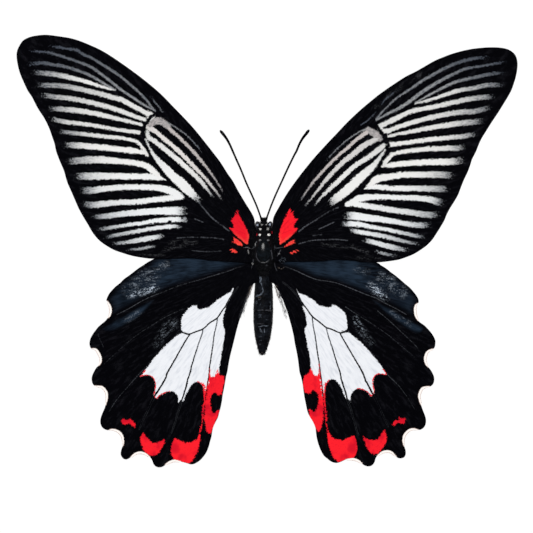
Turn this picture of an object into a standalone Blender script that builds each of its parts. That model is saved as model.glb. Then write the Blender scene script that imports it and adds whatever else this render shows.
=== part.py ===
"""Spread butterfly specimen, a large swallowtail lying flat with its upper side up.

Blender 4.5 script, in metres, +Z up, +Y towards the head. The origin is the middle of the
flat patch under the thorax on which the specimen rests. Points written in lists are in
millimetres, X to the right and Y forward as seen from above, and were chosen by hand.
"""
import math

import bmesh
import bpy
from mathutils import Matrix, Vector
from mathutils.geometry import delaunay_2d_cdt

MM = 0.001
COLLECTION_NAME = "butterfly_specimen"

# Wings: height of each pair at the root, the rise towards the tips, and the sheet thickness
FORE_ROOT_Z = 6.0
HIND_ROOT_Z = 5.25
WING_RISE = 0.00045
WING_ROOT_X = 3.0
WING_THICKNESS = 0.25
FORE_EDGE_STEP = 1.7
HIND_EDGE_STEP = 1.15
WING_INNER_STEP = 4.2
WING_INNER_MARGIN = 1.4

# Thorax, full round the wing roots and narrowing to the neck and the waist, with a flat
# patch below: length positions with half width, half height and height of the axis
BODY_X = 0.1
THORAX_PROFILE = (
    (6.05, 1.3, 1.4, 4.5), (5.6, 1.95, 2.3, 4.4), (5.0, 2.4, 3.0, 4.2), (3.5, 3.05, 3.85, 4.0),
    (1.0, 3.5, 4.5, 3.85), (-1.5, 3.45, 4.45, 3.8), (-3.5, 3.1, 3.75, 3.7), (-4.9, 2.6, 2.9, 3.45),
    (-5.5, 1.6, 1.8, 3.2),
)
THORAX_SEGMENTS = 24
THORAX_RINGS = 18

# Head and eyes
HEAD_CENTRE = (0.1, 7.55, 4.4)
HEAD_HALF = (0.95, 1.2, 1.55)
EYE_OFFSET_X = 1.76
EYE_CENTRE = (0.12, 7.5, 4.3)
EYE_HALF = (0.68, 1.05, 1.2)

# Abdomen: length positions with the offset of its axis and its half width, front to tip
ABDOMEN_Z = 2.95
ABDOMEN_TIP_Z = 2.2
ABDOMEN_FLATTEN = 0.94
ABDOMEN_FRONT_Y = -5.8
ABDOMEN_TIP_Y = -29.0
ABDOMEN_PROFILE = (
    (-5.8, 0.05, 1.75), (-6.4, 0.05, 2.15), (-8.2, 0.05, 2.35), (-12.0, 0.0, 2.55),
    (-16.8, -0.06, 2.71), (-20.2, -0.15, 2.58), (-23.7, -0.2, 2.12), (-26.8, -0.3, 1.3),
    (-28.3, -0.35, 0.75), (-29.0, -0.4, 0.25),
)
SEGMENT_JOINTS_Y = (-9.6, -12.9, -16.4, -20.2, -23.4, -25.8, -27.6)
SEGMENT_GROOVE = 0.13
SEGMENT_GROOVE_REACH = 0.45
ABDOMEN_STEP = 0.75

# Legs, folded out under the wings: start beside the thorax, knee, ankle and foot
LEG_PATHS = {
    "front": ((3.2, 3.4, 1.6), (5.4, 5.4, 2.9), (7.0, 7.6, 1.3), (8.4, 8.7, 0.3), (9.6, 9.3, 0.17)),
    "middle": ((3.75, 0.2, 1.6), (6.3, 0.7, 3.0), (8.6, 0.2, 1.3), (10.0, -0.7, 0.3), (11.2, -1.5, 0.17)),
    "hind": ((3.4, -3.2, 1.6), (5.8, -4.9, 2.9), (7.4, -7.4, 1.3), (8.3, -9.0, 0.3), (9.0, -10.4, 0.17)),
}
LEG_RADII = (0.42, 0.34, 0.24, 0.18, 0.16)

# Head fittings: palps before the face, and the tongue coiled up below the head
PALP_PATH = ((0.5, 8.9, 2.5), (0.56, 9.25, 3.2), (0.58, 9.35, 4.0), (0.5, 9.3, 4.5))
PALP_RADII = (0.2, 0.26, 0.25, 0.14)
TONGUE_CENTRE = (0.1, 8.15, 1.4)
TONGUE_OUTER = 0.85
TONGUE_INNER = 0.28
TONGUE_TURNS = 1.5
TONGUE_RADIUS = 0.11
TONGUE_POINTS = 26

# Antennae: thin shafts that end in a club
ANTENNA_SHAFT = 0.2
ANTENNA_CLUB = 0.36
ANTENNA_CLUB_LENGTH = 4.2
ANTENNA_RISE = 0.9
ANTENNA_BASE_Z = 5.15
ANTENNA_STEP = 1.7
ANTENNA_LEFT = (
    (-0.5, 8.95), (-1.8, 12.6), (-3.1, 15.6), (-4.7, 19.1), (-6.3, 23.0), (-7.7, 26.15),
    (-8.6, 28.2), (-9.4, 30.0), (-10.2, 31.5), (-11.05, 32.7), (-12.2, 34.1),
)
ANTENNA_RIGHT = (
    (0.7, 8.95), (2.0, 12.6), (3.4, 16.0), (5.05, 19.6), (6.7, 23.2), (8.45, 26.8),
    (9.3, 28.4), (10.05, 30.2), (10.95, 31.8), (11.95, 33.1), (12.85, 34.3),
)

# Wing outlines, from the front of the root out along the leading edge and round
FOREWING_LEFT = (
    (-2.45, 8.6), (-5.05, 13.7), (-8.6, 19.9), (-13.5, 27.0), (-20.0, 35.15), (-29.1, 44.55),
    (-40.0, 53.0), (-50.0, 58.5), (-57.2, 60.3), (-60.8, 60.7), (-65.6, 59.95), (-68.2, 57.6),
    (-68.97, 54.6), (-68.1, 50.1), (-65.9, 45.1), (-63.1, 40.2), (-60.0, 34.8), (-57.95, 28.1),
    (-55.8, 22.7), (-53.7, 16.8), (-51.7, 12.2), (-49.2, 7.85), (-45.9, 3.2), (-41.8, 0.55),
    (-36.7, -1.1), (-31.0, -1.9), (-20.0, -1.75), (-10.0, -2.7), (-3.4, -2.7), (-3.3, 0.0),
    (-2.9, 3.4), (-2.3, 5.0), (-2.2, 6.2), (-2.5, 7.5),
)
FOREWING_RIGHT = (
    (2.65, 8.7), (4.9, 13.6), (9.2, 20.1), (14.0, 26.15), (20.7, 33.4), (27.5, 40.1),
    (35.05, 46.0), (44.9, 51.8), (55.1, 56.1), (63.5, 57.2), (68.05, 56.7), (70.45, 54.8),
    (70.9, 51.3), (69.3, 45.3), (65.4, 38.7), (61.0, 31.8), (57.9, 24.6), (54.5, 16.2),
    (50.5, 8.7), (47.1, 3.3), (42.0, -0.6), (35.8, -2.5), (27.4, -2.8), (20.0, -2.2),
    (11.2, -2.7), (3.6, -2.6), (3.5, 0.0), (3.1, 3.4), (2.5, 5.0), (2.4, 6.2), (2.7, 7.5),
)
HINDWING_LEFT = (
    (-3.6, 0.8), (-8.0, 2.6), (-14.0, 3.2), (-20.0, 2.6), (-26.0, 0.6), (-31.0, -2.06),
    (-35.04, -4.56), (-39.1, -7.6), (-42.35, -10.6), (-43.6, -12.35), (-43.9, -13.6), (-43.1, -14.5),
    (-42.6, -16.4), (-42.9, -17.7), (-44.3, -19.3), (-47.06, -21.96), (-48.4, -24.1), (-48.65, -26.1),
    (-47.8, -27.2), (-46.5, -27.6), (-45.5, -29.5), (-45.6, -31.0), (-46.8, -32.4), (-47.8, -34.2),
    (-48.0, -36.3), (-46.9, -37.7), (-45.15, -37.75), (-43.9, -39.2), (-43.7, -40.9), (-44.1, -42.5),
    (-45.05, -45.0), (-45.7, -47.4), (-44.95, -49.3), (-43.2, -49.9), (-41.5, -49.75), (-39.8, -50.9),
    (-39.2, -53.0), (-39.7, -55.0), (-39.9, -57.0), (-38.4, -58.1), (-36.6, -57.0), (-34.6, -56.05),
    (-32.3, -57.0), (-31.1, -58.7), (-30.2, -60.0), (-28.9, -60.35), (-27.1, -59.4), (-25.4, -58.45),
    (-23.6, -58.6), (-20.4, -59.5), (-17.7, -58.3), (-16.05, -56.2), (-15.0, -53.2), (-14.1, -49.1),
    (-12.8, -46.4), (-12.0, -43.5), (-11.0, -37.9), (-10.15, -33.6), (-9.3, -29.0), (-8.2, -24.6),
    (-7.1, -20.3), (-5.4, -15.3), (-3.85, -11.3), (-2.9, -8.9), (-2.2, -7.4), (-2.0, -6.1),
    (-2.7, -4.4), (-3.4, -2.4),
)
HINDWING_RIGHT = (
    (3.8, 0.5), (8.0, 2.0), (14.0, 2.5), (20.0, 1.8), (26.0, -0.2), (31.67, -2.87),
    (35.6, -5.6), (39.65, -8.9), (42.06, -11.2), (43.3, -13.1), (43.4, -13.95), (42.4, -15.2),
    (42.3, -16.6), (42.7, -18.3), (44.1, -19.9), (46.8, -22.4), (48.1, -24.75), (47.9, -26.7),
    (46.7, -27.4), (45.4, -28.5), (45.1, -30.0), (46.1, -32.15), (47.46, -34.2), (47.7, -36.4),
    (46.5, -37.7), (44.8, -37.9), (43.6, -39.4), (43.7, -41.5), (44.5, -43.95), (45.4, -46.4),
    (45.25, -48.6), (43.7, -49.8), (41.8, -49.45), (40.1, -50.3), (39.05, -52.4), (39.5, -54.6),
    (39.8, -56.7), (38.4, -57.8), (36.8, -56.9), (35.15, -55.7), (33.3, -56.0), (31.5, -57.6),
    (30.85, -59.3), (29.2, -60.07), (27.4, -59.1), (25.8, -58.0), (23.9, -57.9), (20.4, -59.1),
    (17.9, -57.9), (16.1, -55.6), (14.9, -51.95), (14.2, -48.3), (12.9, -46.0), (11.86, -42.6),
    (10.9, -36.7), (10.1, -33.0), (9.3, -28.1), (8.4, -23.3), (7.3, -18.96), (6.1, -15.3),
    (4.7, -12.2), (3.2, -9.2), (2.4, -7.4), (2.2, -6.1), (2.9, -4.4), (3.6, -2.4),
)

# Base colours seen in the photograph
WING_BLACK = (0.012, 0.012, 0.016)
BODY_BLACK = (0.014, 0.014, 0.017)
EYE_BLACK = (0.02, 0.02, 0.026)
LEG_BLACK = (0.02, 0.018, 0.018)


def clear_scene():
    """Remove everything that the open file holds."""
    for obj in list(bpy.data.objects):
        bpy.data.objects.remove(obj, do_unlink=True)


def make_material(name, colour, roughness):
    """Make the Principled material of one piece."""
    material = bpy.data.materials.new(name)
    material.use_nodes = True
    shader = material.node_tree.nodes["Principled BSDF"]
    shader.inputs["Base Color"].default_value = (*colour, 1.0)
    shader.inputs["Roughness"].default_value = roughness
    shader.inputs["Metallic"].default_value = 0.0
    return material


def add_object(name, data, collection, colour, roughness):
    """Put mesh or curve data in the scene as one named piece with its own material."""
    obj = bpy.data.objects.new(name, data)
    data.materials.append(make_material(name, colour, roughness))
    collection.objects.link(obj)
    return obj


def catmull_rom(before, start, end, after, t):
    """Point at t between start and end on a smooth curve through four points."""
    return tuple(
        0.5 * (2 * b + (c - a) * t + (2 * a - 5 * b + 4 * c - d) * t ** 2
               + (3 * b - a - 3 * c + d) * t ** 3)
        for a, b, c, d in zip(before, start, end, after)
    )


def smooth_line(points, step, closed):
    """Read points at an even step from a smooth curve through the given points."""
    count = len(points)
    spans = count if closed else count - 1
    fine = []
    for i in range(spans):
        if closed:
            four = [points[(i + k) % count] for k in (-1, 0, 1, 2)]
        else:
            four = [points[min(max(i + k, 0), count - 1)] for k in (-1, 0, 1, 2)]
        fine.extend(catmull_rom(*four, k / 12) for k in range(12))
    fine.append(points[0] if closed else points[-1])
    lengths = [0.0]
    for a, b in zip(fine, fine[1:]):
        lengths.append(lengths[-1] + math.dist(a, b))
    total = max(3, round(lengths[-1] / step))
    result = []
    place = 0
    for i in range(total if closed else total + 1):
        target = lengths[-1] * i / total
        while place < len(fine) - 2 and lengths[place + 1] < target:
            place += 1
        span = lengths[place + 1] - lengths[place]
        t = (target - lengths[place]) / span if span > 0 else 0.0
        result.append(tuple(p + (q - p) * t for p, q in zip(fine[place], fine[place + 1])))
    return result


def read_profile(profile, y):
    """Values of a profile at y, straight between its rows."""
    for row, following in zip(profile, profile[1:]):
        if following[0] <= y <= row[0]:
            t = (row[0] - y) / (row[0] - following[0])
            return [a + (b - a) * t for a, b in zip(row[1:], following[1:])]
    return list(profile[-1][1:])


def is_inside(x, y, outline):
    """Tell whether a point lies inside a closed outline."""
    inside = False
    for (ax, ay), (bx, by) in zip(outline, outline[1:] + outline[:1]):
        if (ay > y) != (by > y) and x < (bx - ax) * (y - ay) / (by - ay) + ax:
            inside = not inside
    return inside


def middle(face, points):
    """Middle of a triangle given by the numbers of its corners."""
    return sum((points[i] for i in face), Vector((0.0, 0.0))) / len(face)


def inner_points(outline):
    """Points on a triangular lattice inside an outline, clear of its edge."""
    points = []
    low_x = min(p[0] for p in outline)
    high_x = max(p[0] for p in outline)
    low_y = min(p[1] for p in outline)
    high_y = max(p[1] for p in outline)
    row_step = WING_INNER_STEP * math.sin(math.radians(60))
    for row in range(int((high_y - low_y) / row_step) + 1):
        y = low_y + row * row_step
        shift = WING_INNER_STEP / 2 if row % 2 else 0.0
        for column in range(int((high_x - low_x) / WING_INNER_STEP) + 1):
            x = low_x + column * WING_INNER_STEP + shift
            if not is_inside(x, y, outline):
                continue
            if min(math.dist((x, y), p) for p in outline) > WING_INNER_MARGIN:
                points.append((x, y))
    return points


def wing_height(x, root_z):
    """Height of a wing sheet: level at the root and rising gently towards the tip."""
    return root_z + WING_RISE * (abs(x) - WING_ROOT_X) ** 2


def make_wing(name, rough_outline, root_z, edge_step, collection):
    """Make a wing as one arched sheet inside its outline, thickened by Solidify."""
    outline = smooth_line(rough_outline, edge_step, closed=True)
    points = [Vector(p) for p in outline + inner_points(outline)]
    edges = [(i, (i + 1) % len(outline)) for i in range(len(outline))]
    flat, _, faces, *_ = delaunay_2d_cdt(points, edges, [], 1, 1e-6, False)
    faces = [face for face in faces if is_inside(*middle(face, flat), outline)]
    corners = [(p.x * MM, p.y * MM, wing_height(p.x, root_z) * MM) for p in flat]
    mesh = bpy.data.meshes.new(name)
    mesh.from_pydata(corners, [], faces)
    mesh.shade_smooth()
    wing = add_object(name, mesh, collection, WING_BLACK, 0.7)
    solidify = wing.modifiers.new("Sheet", "SOLIDIFY")
    solidify.thickness = WING_THICKNESS * MM
    solidify.offset = 0.0
    return wing


def make_ball(name, centre, half, segments, rings, collection, colour, roughness):
    """Make an ellipsoid whose poles point forward and back."""
    mesh = bpy.data.meshes.new(name)
    form = bmesh.new()
    turn = Matrix.Rotation(math.radians(90), 4, "X")
    bmesh.ops.create_uvsphere(form, u_segments=segments, v_segments=rings, radius=1.0, matrix=turn)
    for vertex in form.verts:
        vertex.co = Vector(c * MM + v * h * MM for c, v, h in zip(centre, vertex.co, half))
    form.to_mesh(mesh)
    form.free()
    mesh.shade_smooth()
    return add_object(name, mesh, collection, colour, roughness)


def make_tube(name, points, radii, sides, collection, colour, roughness):
    """Make a closed tube of varying thickness along points given in millimetres."""
    curve = bpy.data.curves.new(name, "CURVE")
    curve.dimensions = "3D"
    curve.bevel_depth = MM
    curve.bevel_resolution = sides // 2 - 2
    curve.use_fill_caps = True
    spline = curve.splines.new("POLY")
    spline.points.add(len(points) - 1)
    for control, point, radius in zip(spline.points, points, radii):
        control.co = (*(c * MM for c in point), 1.0)
        control.radius = radius
    return add_object(name, curve, collection, colour, roughness)


def make_thorax(collection):
    """Make the thorax along its profile and flatten its underside where the specimen rests."""
    front = THORAX_PROFILE[0][0]
    back = THORAX_PROFILE[-1][0]
    thorax = make_ball("thorax", (0.0, 0.0, 0.0), (1.0, 1.0, 1.0), THORAX_SEGMENTS, THORAX_RINGS,
                       collection, BODY_BLACK, 0.85)
    for vertex in thorax.data.vertices:
        unit = vertex.co / MM
        y = (front + back) / 2 + (front - back) / 2 * unit.y
        half_width, half_height, centre_z = read_profile(THORAX_PROFILE, min(y, front))
        ring = math.hypot(unit.x, unit.z)
        fullness = 1.0 / ring if ring > 0.01 else 0.0
        x = BODY_X + half_width * unit.x * fullness
        z = centre_z + half_height * unit.z * fullness
        vertex.co = Vector((x, y, max(z, 0.0))) * MM


def make_head(collection):
    """Make the head, its two eyes, the palps and the coiled tongue."""
    make_ball("head", HEAD_CENTRE, HEAD_HALF, 16, 10, collection, BODY_BLACK, 0.85)
    for side, sign in (("left", -1), ("right", 1)):
        centre = (EYE_CENTRE[0] + sign * EYE_OFFSET_X, EYE_CENTRE[1], EYE_CENTRE[2])
        make_ball("eye_" + side, centre, EYE_HALF, 16, 10, collection, EYE_BLACK, 0.15)
        palp = [(sign * x + HEAD_CENTRE[0], y, z) for x, y, z in PALP_PATH]
        make_tube("palp_" + side, palp, PALP_RADII, 8, collection, BODY_BLACK, 0.85)
    coil = []
    for i in range(TONGUE_POINTS):
        t = i / (TONGUE_POINTS - 1)
        angle = math.radians(100) - t * TONGUE_TURNS * math.tau
        reach = TONGUE_OUTER + (TONGUE_INNER - TONGUE_OUTER) * t
        coil.append((TONGUE_CENTRE[0], TONGUE_CENTRE[1] + reach * math.cos(angle),
                     TONGUE_CENTRE[2] + reach * math.sin(angle)))
    make_tube("proboscis", coil, [TONGUE_RADIUS] * len(coil), 8, collection, LEG_BLACK, 0.5)


def make_abdomen(collection):
    """Make the abdomen as one tapering tube with a shallow groove at each segment joint."""
    count = round((ABDOMEN_FRONT_Y - ABDOMEN_TIP_Y) / ABDOMEN_STEP)
    places = [ABDOMEN_FRONT_Y + (ABDOMEN_TIP_Y - ABDOMEN_FRONT_Y) * i / count for i in range(count + 1)]
    places = sorted(set(places) | set(SEGMENT_JOINTS_Y), reverse=True)
    points = []
    radii = []
    for y in places:
        offset, half_width = read_profile(ABDOMEN_PROFILE, y)
        nearest = min(abs(y - joint) for joint in SEGMENT_JOINTS_Y)
        groove = SEGMENT_GROOVE * max(0.0, 1.0 - nearest / SEGMENT_GROOVE_REACH)
        droop = (ABDOMEN_FRONT_Y - y) / (ABDOMEN_FRONT_Y - ABDOMEN_TIP_Y)
        centre_z = ABDOMEN_Z + (ABDOMEN_TIP_Z - ABDOMEN_Z) * droop ** 2
        points.append((offset, y, centre_z / ABDOMEN_FLATTEN))
        radii.append(half_width - groove)
    abdomen = make_tube("abdomen", points, radii, 20, collection, BODY_BLACK, 0.8)
    abdomen.scale = (1.0, 1.0, ABDOMEN_FLATTEN)


def make_antenna(name, path, collection):
    """Make one antenna: a thin shaft that swells into a club and rises a little."""
    line = smooth_line(path, ANTENNA_STEP, closed=False)
    length = ANTENNA_STEP * (len(line) - 1)
    points = []
    radii = []
    for i, (x, y) in enumerate(line):
        t = i / (len(line) - 1)
        to_tip = (1.0 - t) * length
        swell = min(1.0, max(0.0, 1.0 - to_tip / ANTENNA_CLUB_LENGTH) * 2.0)
        blunt = 0.6 if i == len(line) - 1 else 1.0
        points.append((x, y, ANTENNA_BASE_Z + ANTENNA_RISE * t))
        radii.append((ANTENNA_SHAFT + (ANTENNA_CLUB - ANTENNA_SHAFT) * swell) * blunt)
    make_tube(name, points, radii, 8, collection, LEG_BLACK, 0.6)


def make_legs(collection):
    """Make the six legs, folded out flat under the wings."""
    for pair, path in LEG_PATHS.items():
        for side, sign in (("left", -1), ("right", 1)):
            points = [(sign * x + BODY_X, y, z) for x, y, z in path]
            make_tube(f"leg_{pair}_{side}", points, LEG_RADII, 8, collection, LEG_BLACK, 0.6)


def main():
    clear_scene()
    collection = bpy.data.collections.new(COLLECTION_NAME)
    bpy.context.scene.collection.children.link(collection)
    make_thorax(collection)
    make_head(collection)
    make_abdomen(collection)
    make_antenna("antenna_left", ANTENNA_LEFT, collection)
    make_antenna("antenna_right", ANTENNA_RIGHT, collection)
    make_legs(collection)
    make_wing("hindwing_left", HINDWING_LEFT, HIND_ROOT_Z, HIND_EDGE_STEP, collection)
    make_wing("hindwing_right", HINDWING_RIGHT, HIND_ROOT_Z, HIND_EDGE_STEP, collection)
    make_wing("forewing_left", FOREWING_LEFT, FORE_ROOT_Z, FORE_EDGE_STEP, collection)
    make_wing("forewing_right", FOREWING_RIGHT, FORE_ROOT_Z, FORE_EDGE_STEP, collection)


main()
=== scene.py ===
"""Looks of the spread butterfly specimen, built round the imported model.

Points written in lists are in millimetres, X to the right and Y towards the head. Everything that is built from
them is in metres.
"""
import math
from functools import partial

import bmesh
import bpy
import numpy as np
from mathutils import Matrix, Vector, kdtree
from mathutils.geometry import delaunay_2d_cdt


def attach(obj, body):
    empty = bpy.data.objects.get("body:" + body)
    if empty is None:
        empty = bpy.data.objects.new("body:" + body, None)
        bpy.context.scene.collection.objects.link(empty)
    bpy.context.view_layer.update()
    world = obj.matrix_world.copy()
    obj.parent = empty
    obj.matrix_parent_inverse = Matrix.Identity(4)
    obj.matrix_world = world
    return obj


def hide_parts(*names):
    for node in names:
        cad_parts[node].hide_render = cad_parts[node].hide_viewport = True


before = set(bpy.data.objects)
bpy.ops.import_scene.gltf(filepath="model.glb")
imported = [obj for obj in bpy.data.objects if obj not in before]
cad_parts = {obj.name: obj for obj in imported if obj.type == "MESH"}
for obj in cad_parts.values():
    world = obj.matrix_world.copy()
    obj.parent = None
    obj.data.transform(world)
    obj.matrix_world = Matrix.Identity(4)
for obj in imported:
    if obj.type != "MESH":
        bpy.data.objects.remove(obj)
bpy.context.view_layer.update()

MM = 0.001
SEED = 7

# Camera: straight down through a long lens
VIEW_WIDTH = 149.24
VIEW_CENTRE = (0.84, -4.06)
VIEW_PLANE_Z = 6.0
LENS = 200.0
SENSOR = 36.0

# Wings, the same arch as the solids, with a thinner sheet
FORE_ROOT_Z = 6.0
HIND_ROOT_Z = 5.25
WING_RISE = 0.00045
WING_ROOT_X = 3.0
# Where hair lies on the wing roots instead of the body
WINGS_FROM_X = 2.3
FOREWING_FROM_Y = -2.9
HINDWING_FROM_Y = -9.0
# Half thickness of a wing, and how far its veins rise and the ground between them sinks
SHEET_HALF = 0.045
VEIN_HEIGHT = 0.06
VALLEY_DEPTH = 0.035
RIDGE_WIDTH = 0.3
# Spacing of the points on the edge, along the markings, on the upper side and underneath
EDGE_STEP = 0.22
GUIDE_STEP = 0.24
GUIDE_GAP = 0.12
TOP_STEP = 0.26
UNDER_STEP = 0.45
JITTER = 0.14
EDGE_CLEARANCE = 0.08
# Distance from a marking's edge beyond which it isn't measured
REACH = 2.0

# Outlines of the wings
FORE_LEFT = (
    (-2.45, 8.7), (-3.03, 10.4), (-5.05, 13.7), (-6.9, 16.8), (-8.6, 19.9), (-10.0, 21.9),
    (-12.0, 25.05), (-13.46, 27.0), (-15.8, 30.0), (-20.0, 35.15), (-25.0, 40.4), (-29.1, 44.55),
    (-34.1, 48.7), (-40.0, 53.0), (-45.0, 56.2), (-50.0, 58.5), (-53.6, 59.7), (-57.2, 60.3),
    (-60.8, 60.7), (-63.6, 60.45), (-65.6, 59.95), (-67.2, 59.05), (-68.2, 57.6), (-68.85, 56.1),
    (-68.97, 54.6), (-68.7, 52.5), (-68.1, 50.1), (-67.2, 47.9), (-65.9, 45.1), (-64.7, 43.3),
    (-63.1, 40.2), (-61.3, 37.4), (-60.0, 34.8), (-59.0, 32.0), (-58.4, 30.2), (-57.95, 28.1),
    (-56.9, 25.3), (-55.8, 22.7), (-54.9, 19.6), (-53.7, 16.8), (-52.6, 14.25), (-51.7, 12.2),
    (-50.5, 10.0), (-49.2, 7.85), (-47.7, 5.3), (-45.9, 3.2), (-43.85, 1.7), (-41.8, 0.55),
    (-39.7, -0.2), (-36.7, -1.1), (-33.6, -1.65), (-31.0, -1.9), (-25.0, -1.85), (-20.0, -1.75),
    (-15.0, -2.35), (-10.0, -2.7), (-6.0, -2.9), (-2.9, -2.8), (-2.8, 0.0), (-2.5, 3.4),
    (-1.9, 5.0), (-1.9, 6.2), (-2.4, 7.5),
)
FORE_RIGHT = (
    (2.6, 8.8), (2.9, 9.95), (3.7, 11.5), (4.9, 13.6), (6.8, 16.7), (9.2, 20.1),
    (11.5, 23.1), (14.0, 26.15), (16.2, 28.6), (18.5, 31.1), (20.7, 33.4), (22.95, 35.8),
    (25.2, 38.0), (27.5, 40.1), (30.0, 42.2), (32.5, 44.2), (35.05, 46.0), (37.9, 47.9),
    (40.0, 49.2), (42.7, 50.55), (44.9, 51.8), (47.7, 53.4), (50.0, 54.4), (52.5, 55.35),
    (55.1, 56.1), (57.9, 56.7), (60.7, 57.05), (63.5, 57.2), (66.1, 57.1), (68.05, 56.7),
    (69.5, 55.9), (70.45, 54.8), (70.9, 53.2), (70.9, 51.3), (70.5, 49.0), (70.0, 47.3),
    (69.3, 45.3), (68.3, 43.4), (66.9, 41.1), (65.4, 38.7), (63.8, 36.3), (62.3, 33.9),
    (61.0, 31.8), (60.2, 30.1), (59.4, 28.1), (58.3, 25.9), (57.9, 24.6), (57.1, 22.4),
    (56.1, 20.3), (55.2, 18.1), (54.5, 16.2), (53.4, 14.2), (52.2, 12.3), (51.3, 10.6),
    (50.5, 8.7), (49.4, 6.8), (48.2, 4.9), (47.1, 3.3), (45.5, 1.7), (43.6, 0.35),
    (42.0, -0.6), (40.1, -1.4), (38.0, -2.1), (35.8, -2.5), (33.4, -2.8), (31.7, -2.9),
    (27.4, -2.8), (25.35, -2.4), (20.0, -2.2), (15.7, -2.6), (11.2, -2.7), (7.4, -2.7),
    (3.1, -2.7), (3.0, 0.0), (2.7, 3.4), (2.1, 5.0), (2.1, 6.2), (2.55, 7.5),
)
HIND_LEFT = (
    (-3.3, 0.8), (-8.0, 2.6), (-14.0, 3.2), (-20.0, 2.6), (-26.0, 0.6), (-31.0, -2.06),
    (-32.54, -2.92), (-33.7, -3.7), (-35.04, -4.56), (-36.4, -5.6), (-37.7, -6.6), (-39.1, -7.6),
    (-40.2, -8.7), (-41.4, -9.65), (-42.35, -10.6), (-43.1, -11.5), (-43.6, -12.35), (-43.9, -13.1),
    (-43.98, -13.6), (-43.6, -13.9), (-43.1, -14.5), (-42.8, -15.1), (-42.6, -16.0), (-42.6, -17.0),
    (-42.9, -17.7), (-43.5, -18.3), (-44.3, -19.3), (-45.2, -20.04), (-46.2, -20.9), (-47.06, -21.96),
    (-47.8, -23.0), (-48.4, -24.1), (-48.7, -25.2), (-48.65, -26.2), (-48.3, -26.96), (-47.8, -27.2),
    (-47.15, -27.1), (-46.5, -27.6), (-45.9, -28.5), (-45.5, -29.5), (-45.4, -30.1), (-45.6, -31.0),
    (-46.1, -31.7), (-46.8, -32.4), (-47.3, -33.2), (-47.8, -34.2), (-48.1, -35.3), (-48.0, -36.4),
    (-47.6, -37.2), (-46.9, -37.7), (-46.1, -37.6), (-45.15, -37.75), (-44.4, -38.3), (-43.9, -39.2),
    (-43.7, -40.3), (-43.8, -41.5), (-44.1, -42.5), (-44.5, -43.7), (-45.05, -45.0), (-45.5, -46.2),
    (-45.7, -47.4), (-45.5, -48.5), (-44.95, -49.3), (-44.1, -49.8), (-43.2, -49.9), (-42.4, -49.65),
    (-41.5, -49.75), (-40.5, -50.2), (-39.8, -50.9), (-39.3, -51.8), (-39.2, -53.0), (-39.3, -54.0),
    (-39.7, -55.0), (-40.0, -56.3), (-39.8, -57.2), (-39.2, -57.9), (-38.4, -58.1), (-37.5, -57.7),
    (-36.6, -57.0), (-35.7, -56.3), (-34.6, -56.05), (-33.4, -56.3), (-32.3, -57.0), (-31.5, -57.8),
    (-31.1, -58.6), (-30.8, -59.4), (-30.15, -60.1), (-29.2, -60.35), (-28.15, -60.1), (-27.15, -59.35),
    (-26.25, -58.65), (-25.3, -58.4), (-24.5, -58.3), (-23.6, -58.6), (-22.5, -58.9), (-21.4, -59.2),
    (-20.4, -59.5), (-19.5, -59.4), (-18.6, -58.95), (-17.7, -58.3), (-16.8, -57.3), (-16.05, -56.2),
    (-15.4, -54.7), (-15.0, -53.2), (-14.6, -51.8), (-14.4, -50.5), (-14.1, -49.1), (-13.4, -47.6),
    (-12.8, -46.4), (-12.4, -44.95), (-12.0, -43.5), (-11.65, -41.7), (-11.4, -39.9), (-11.0, -37.9),
    (-10.7, -36.15), (-10.45, -34.7), (-10.15, -33.6), (-9.7, -30.95), (-9.3, -29.0), (-8.75, -26.8),
    (-8.2, -24.6), (-7.66, -22.4), (-7.1, -20.3), (-6.6, -18.7), (-5.9, -16.8), (-5.4, -15.3),
    (-4.9, -13.95), (-4.4, -12.4), (-3.95, -11.3), (-3.3, -10.0), (-2.7, -8.9), (-1.5, -8.2), (-1.3, -6.1),
    (-2.0, -4.4), (-3.0, -2.4),
)
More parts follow.
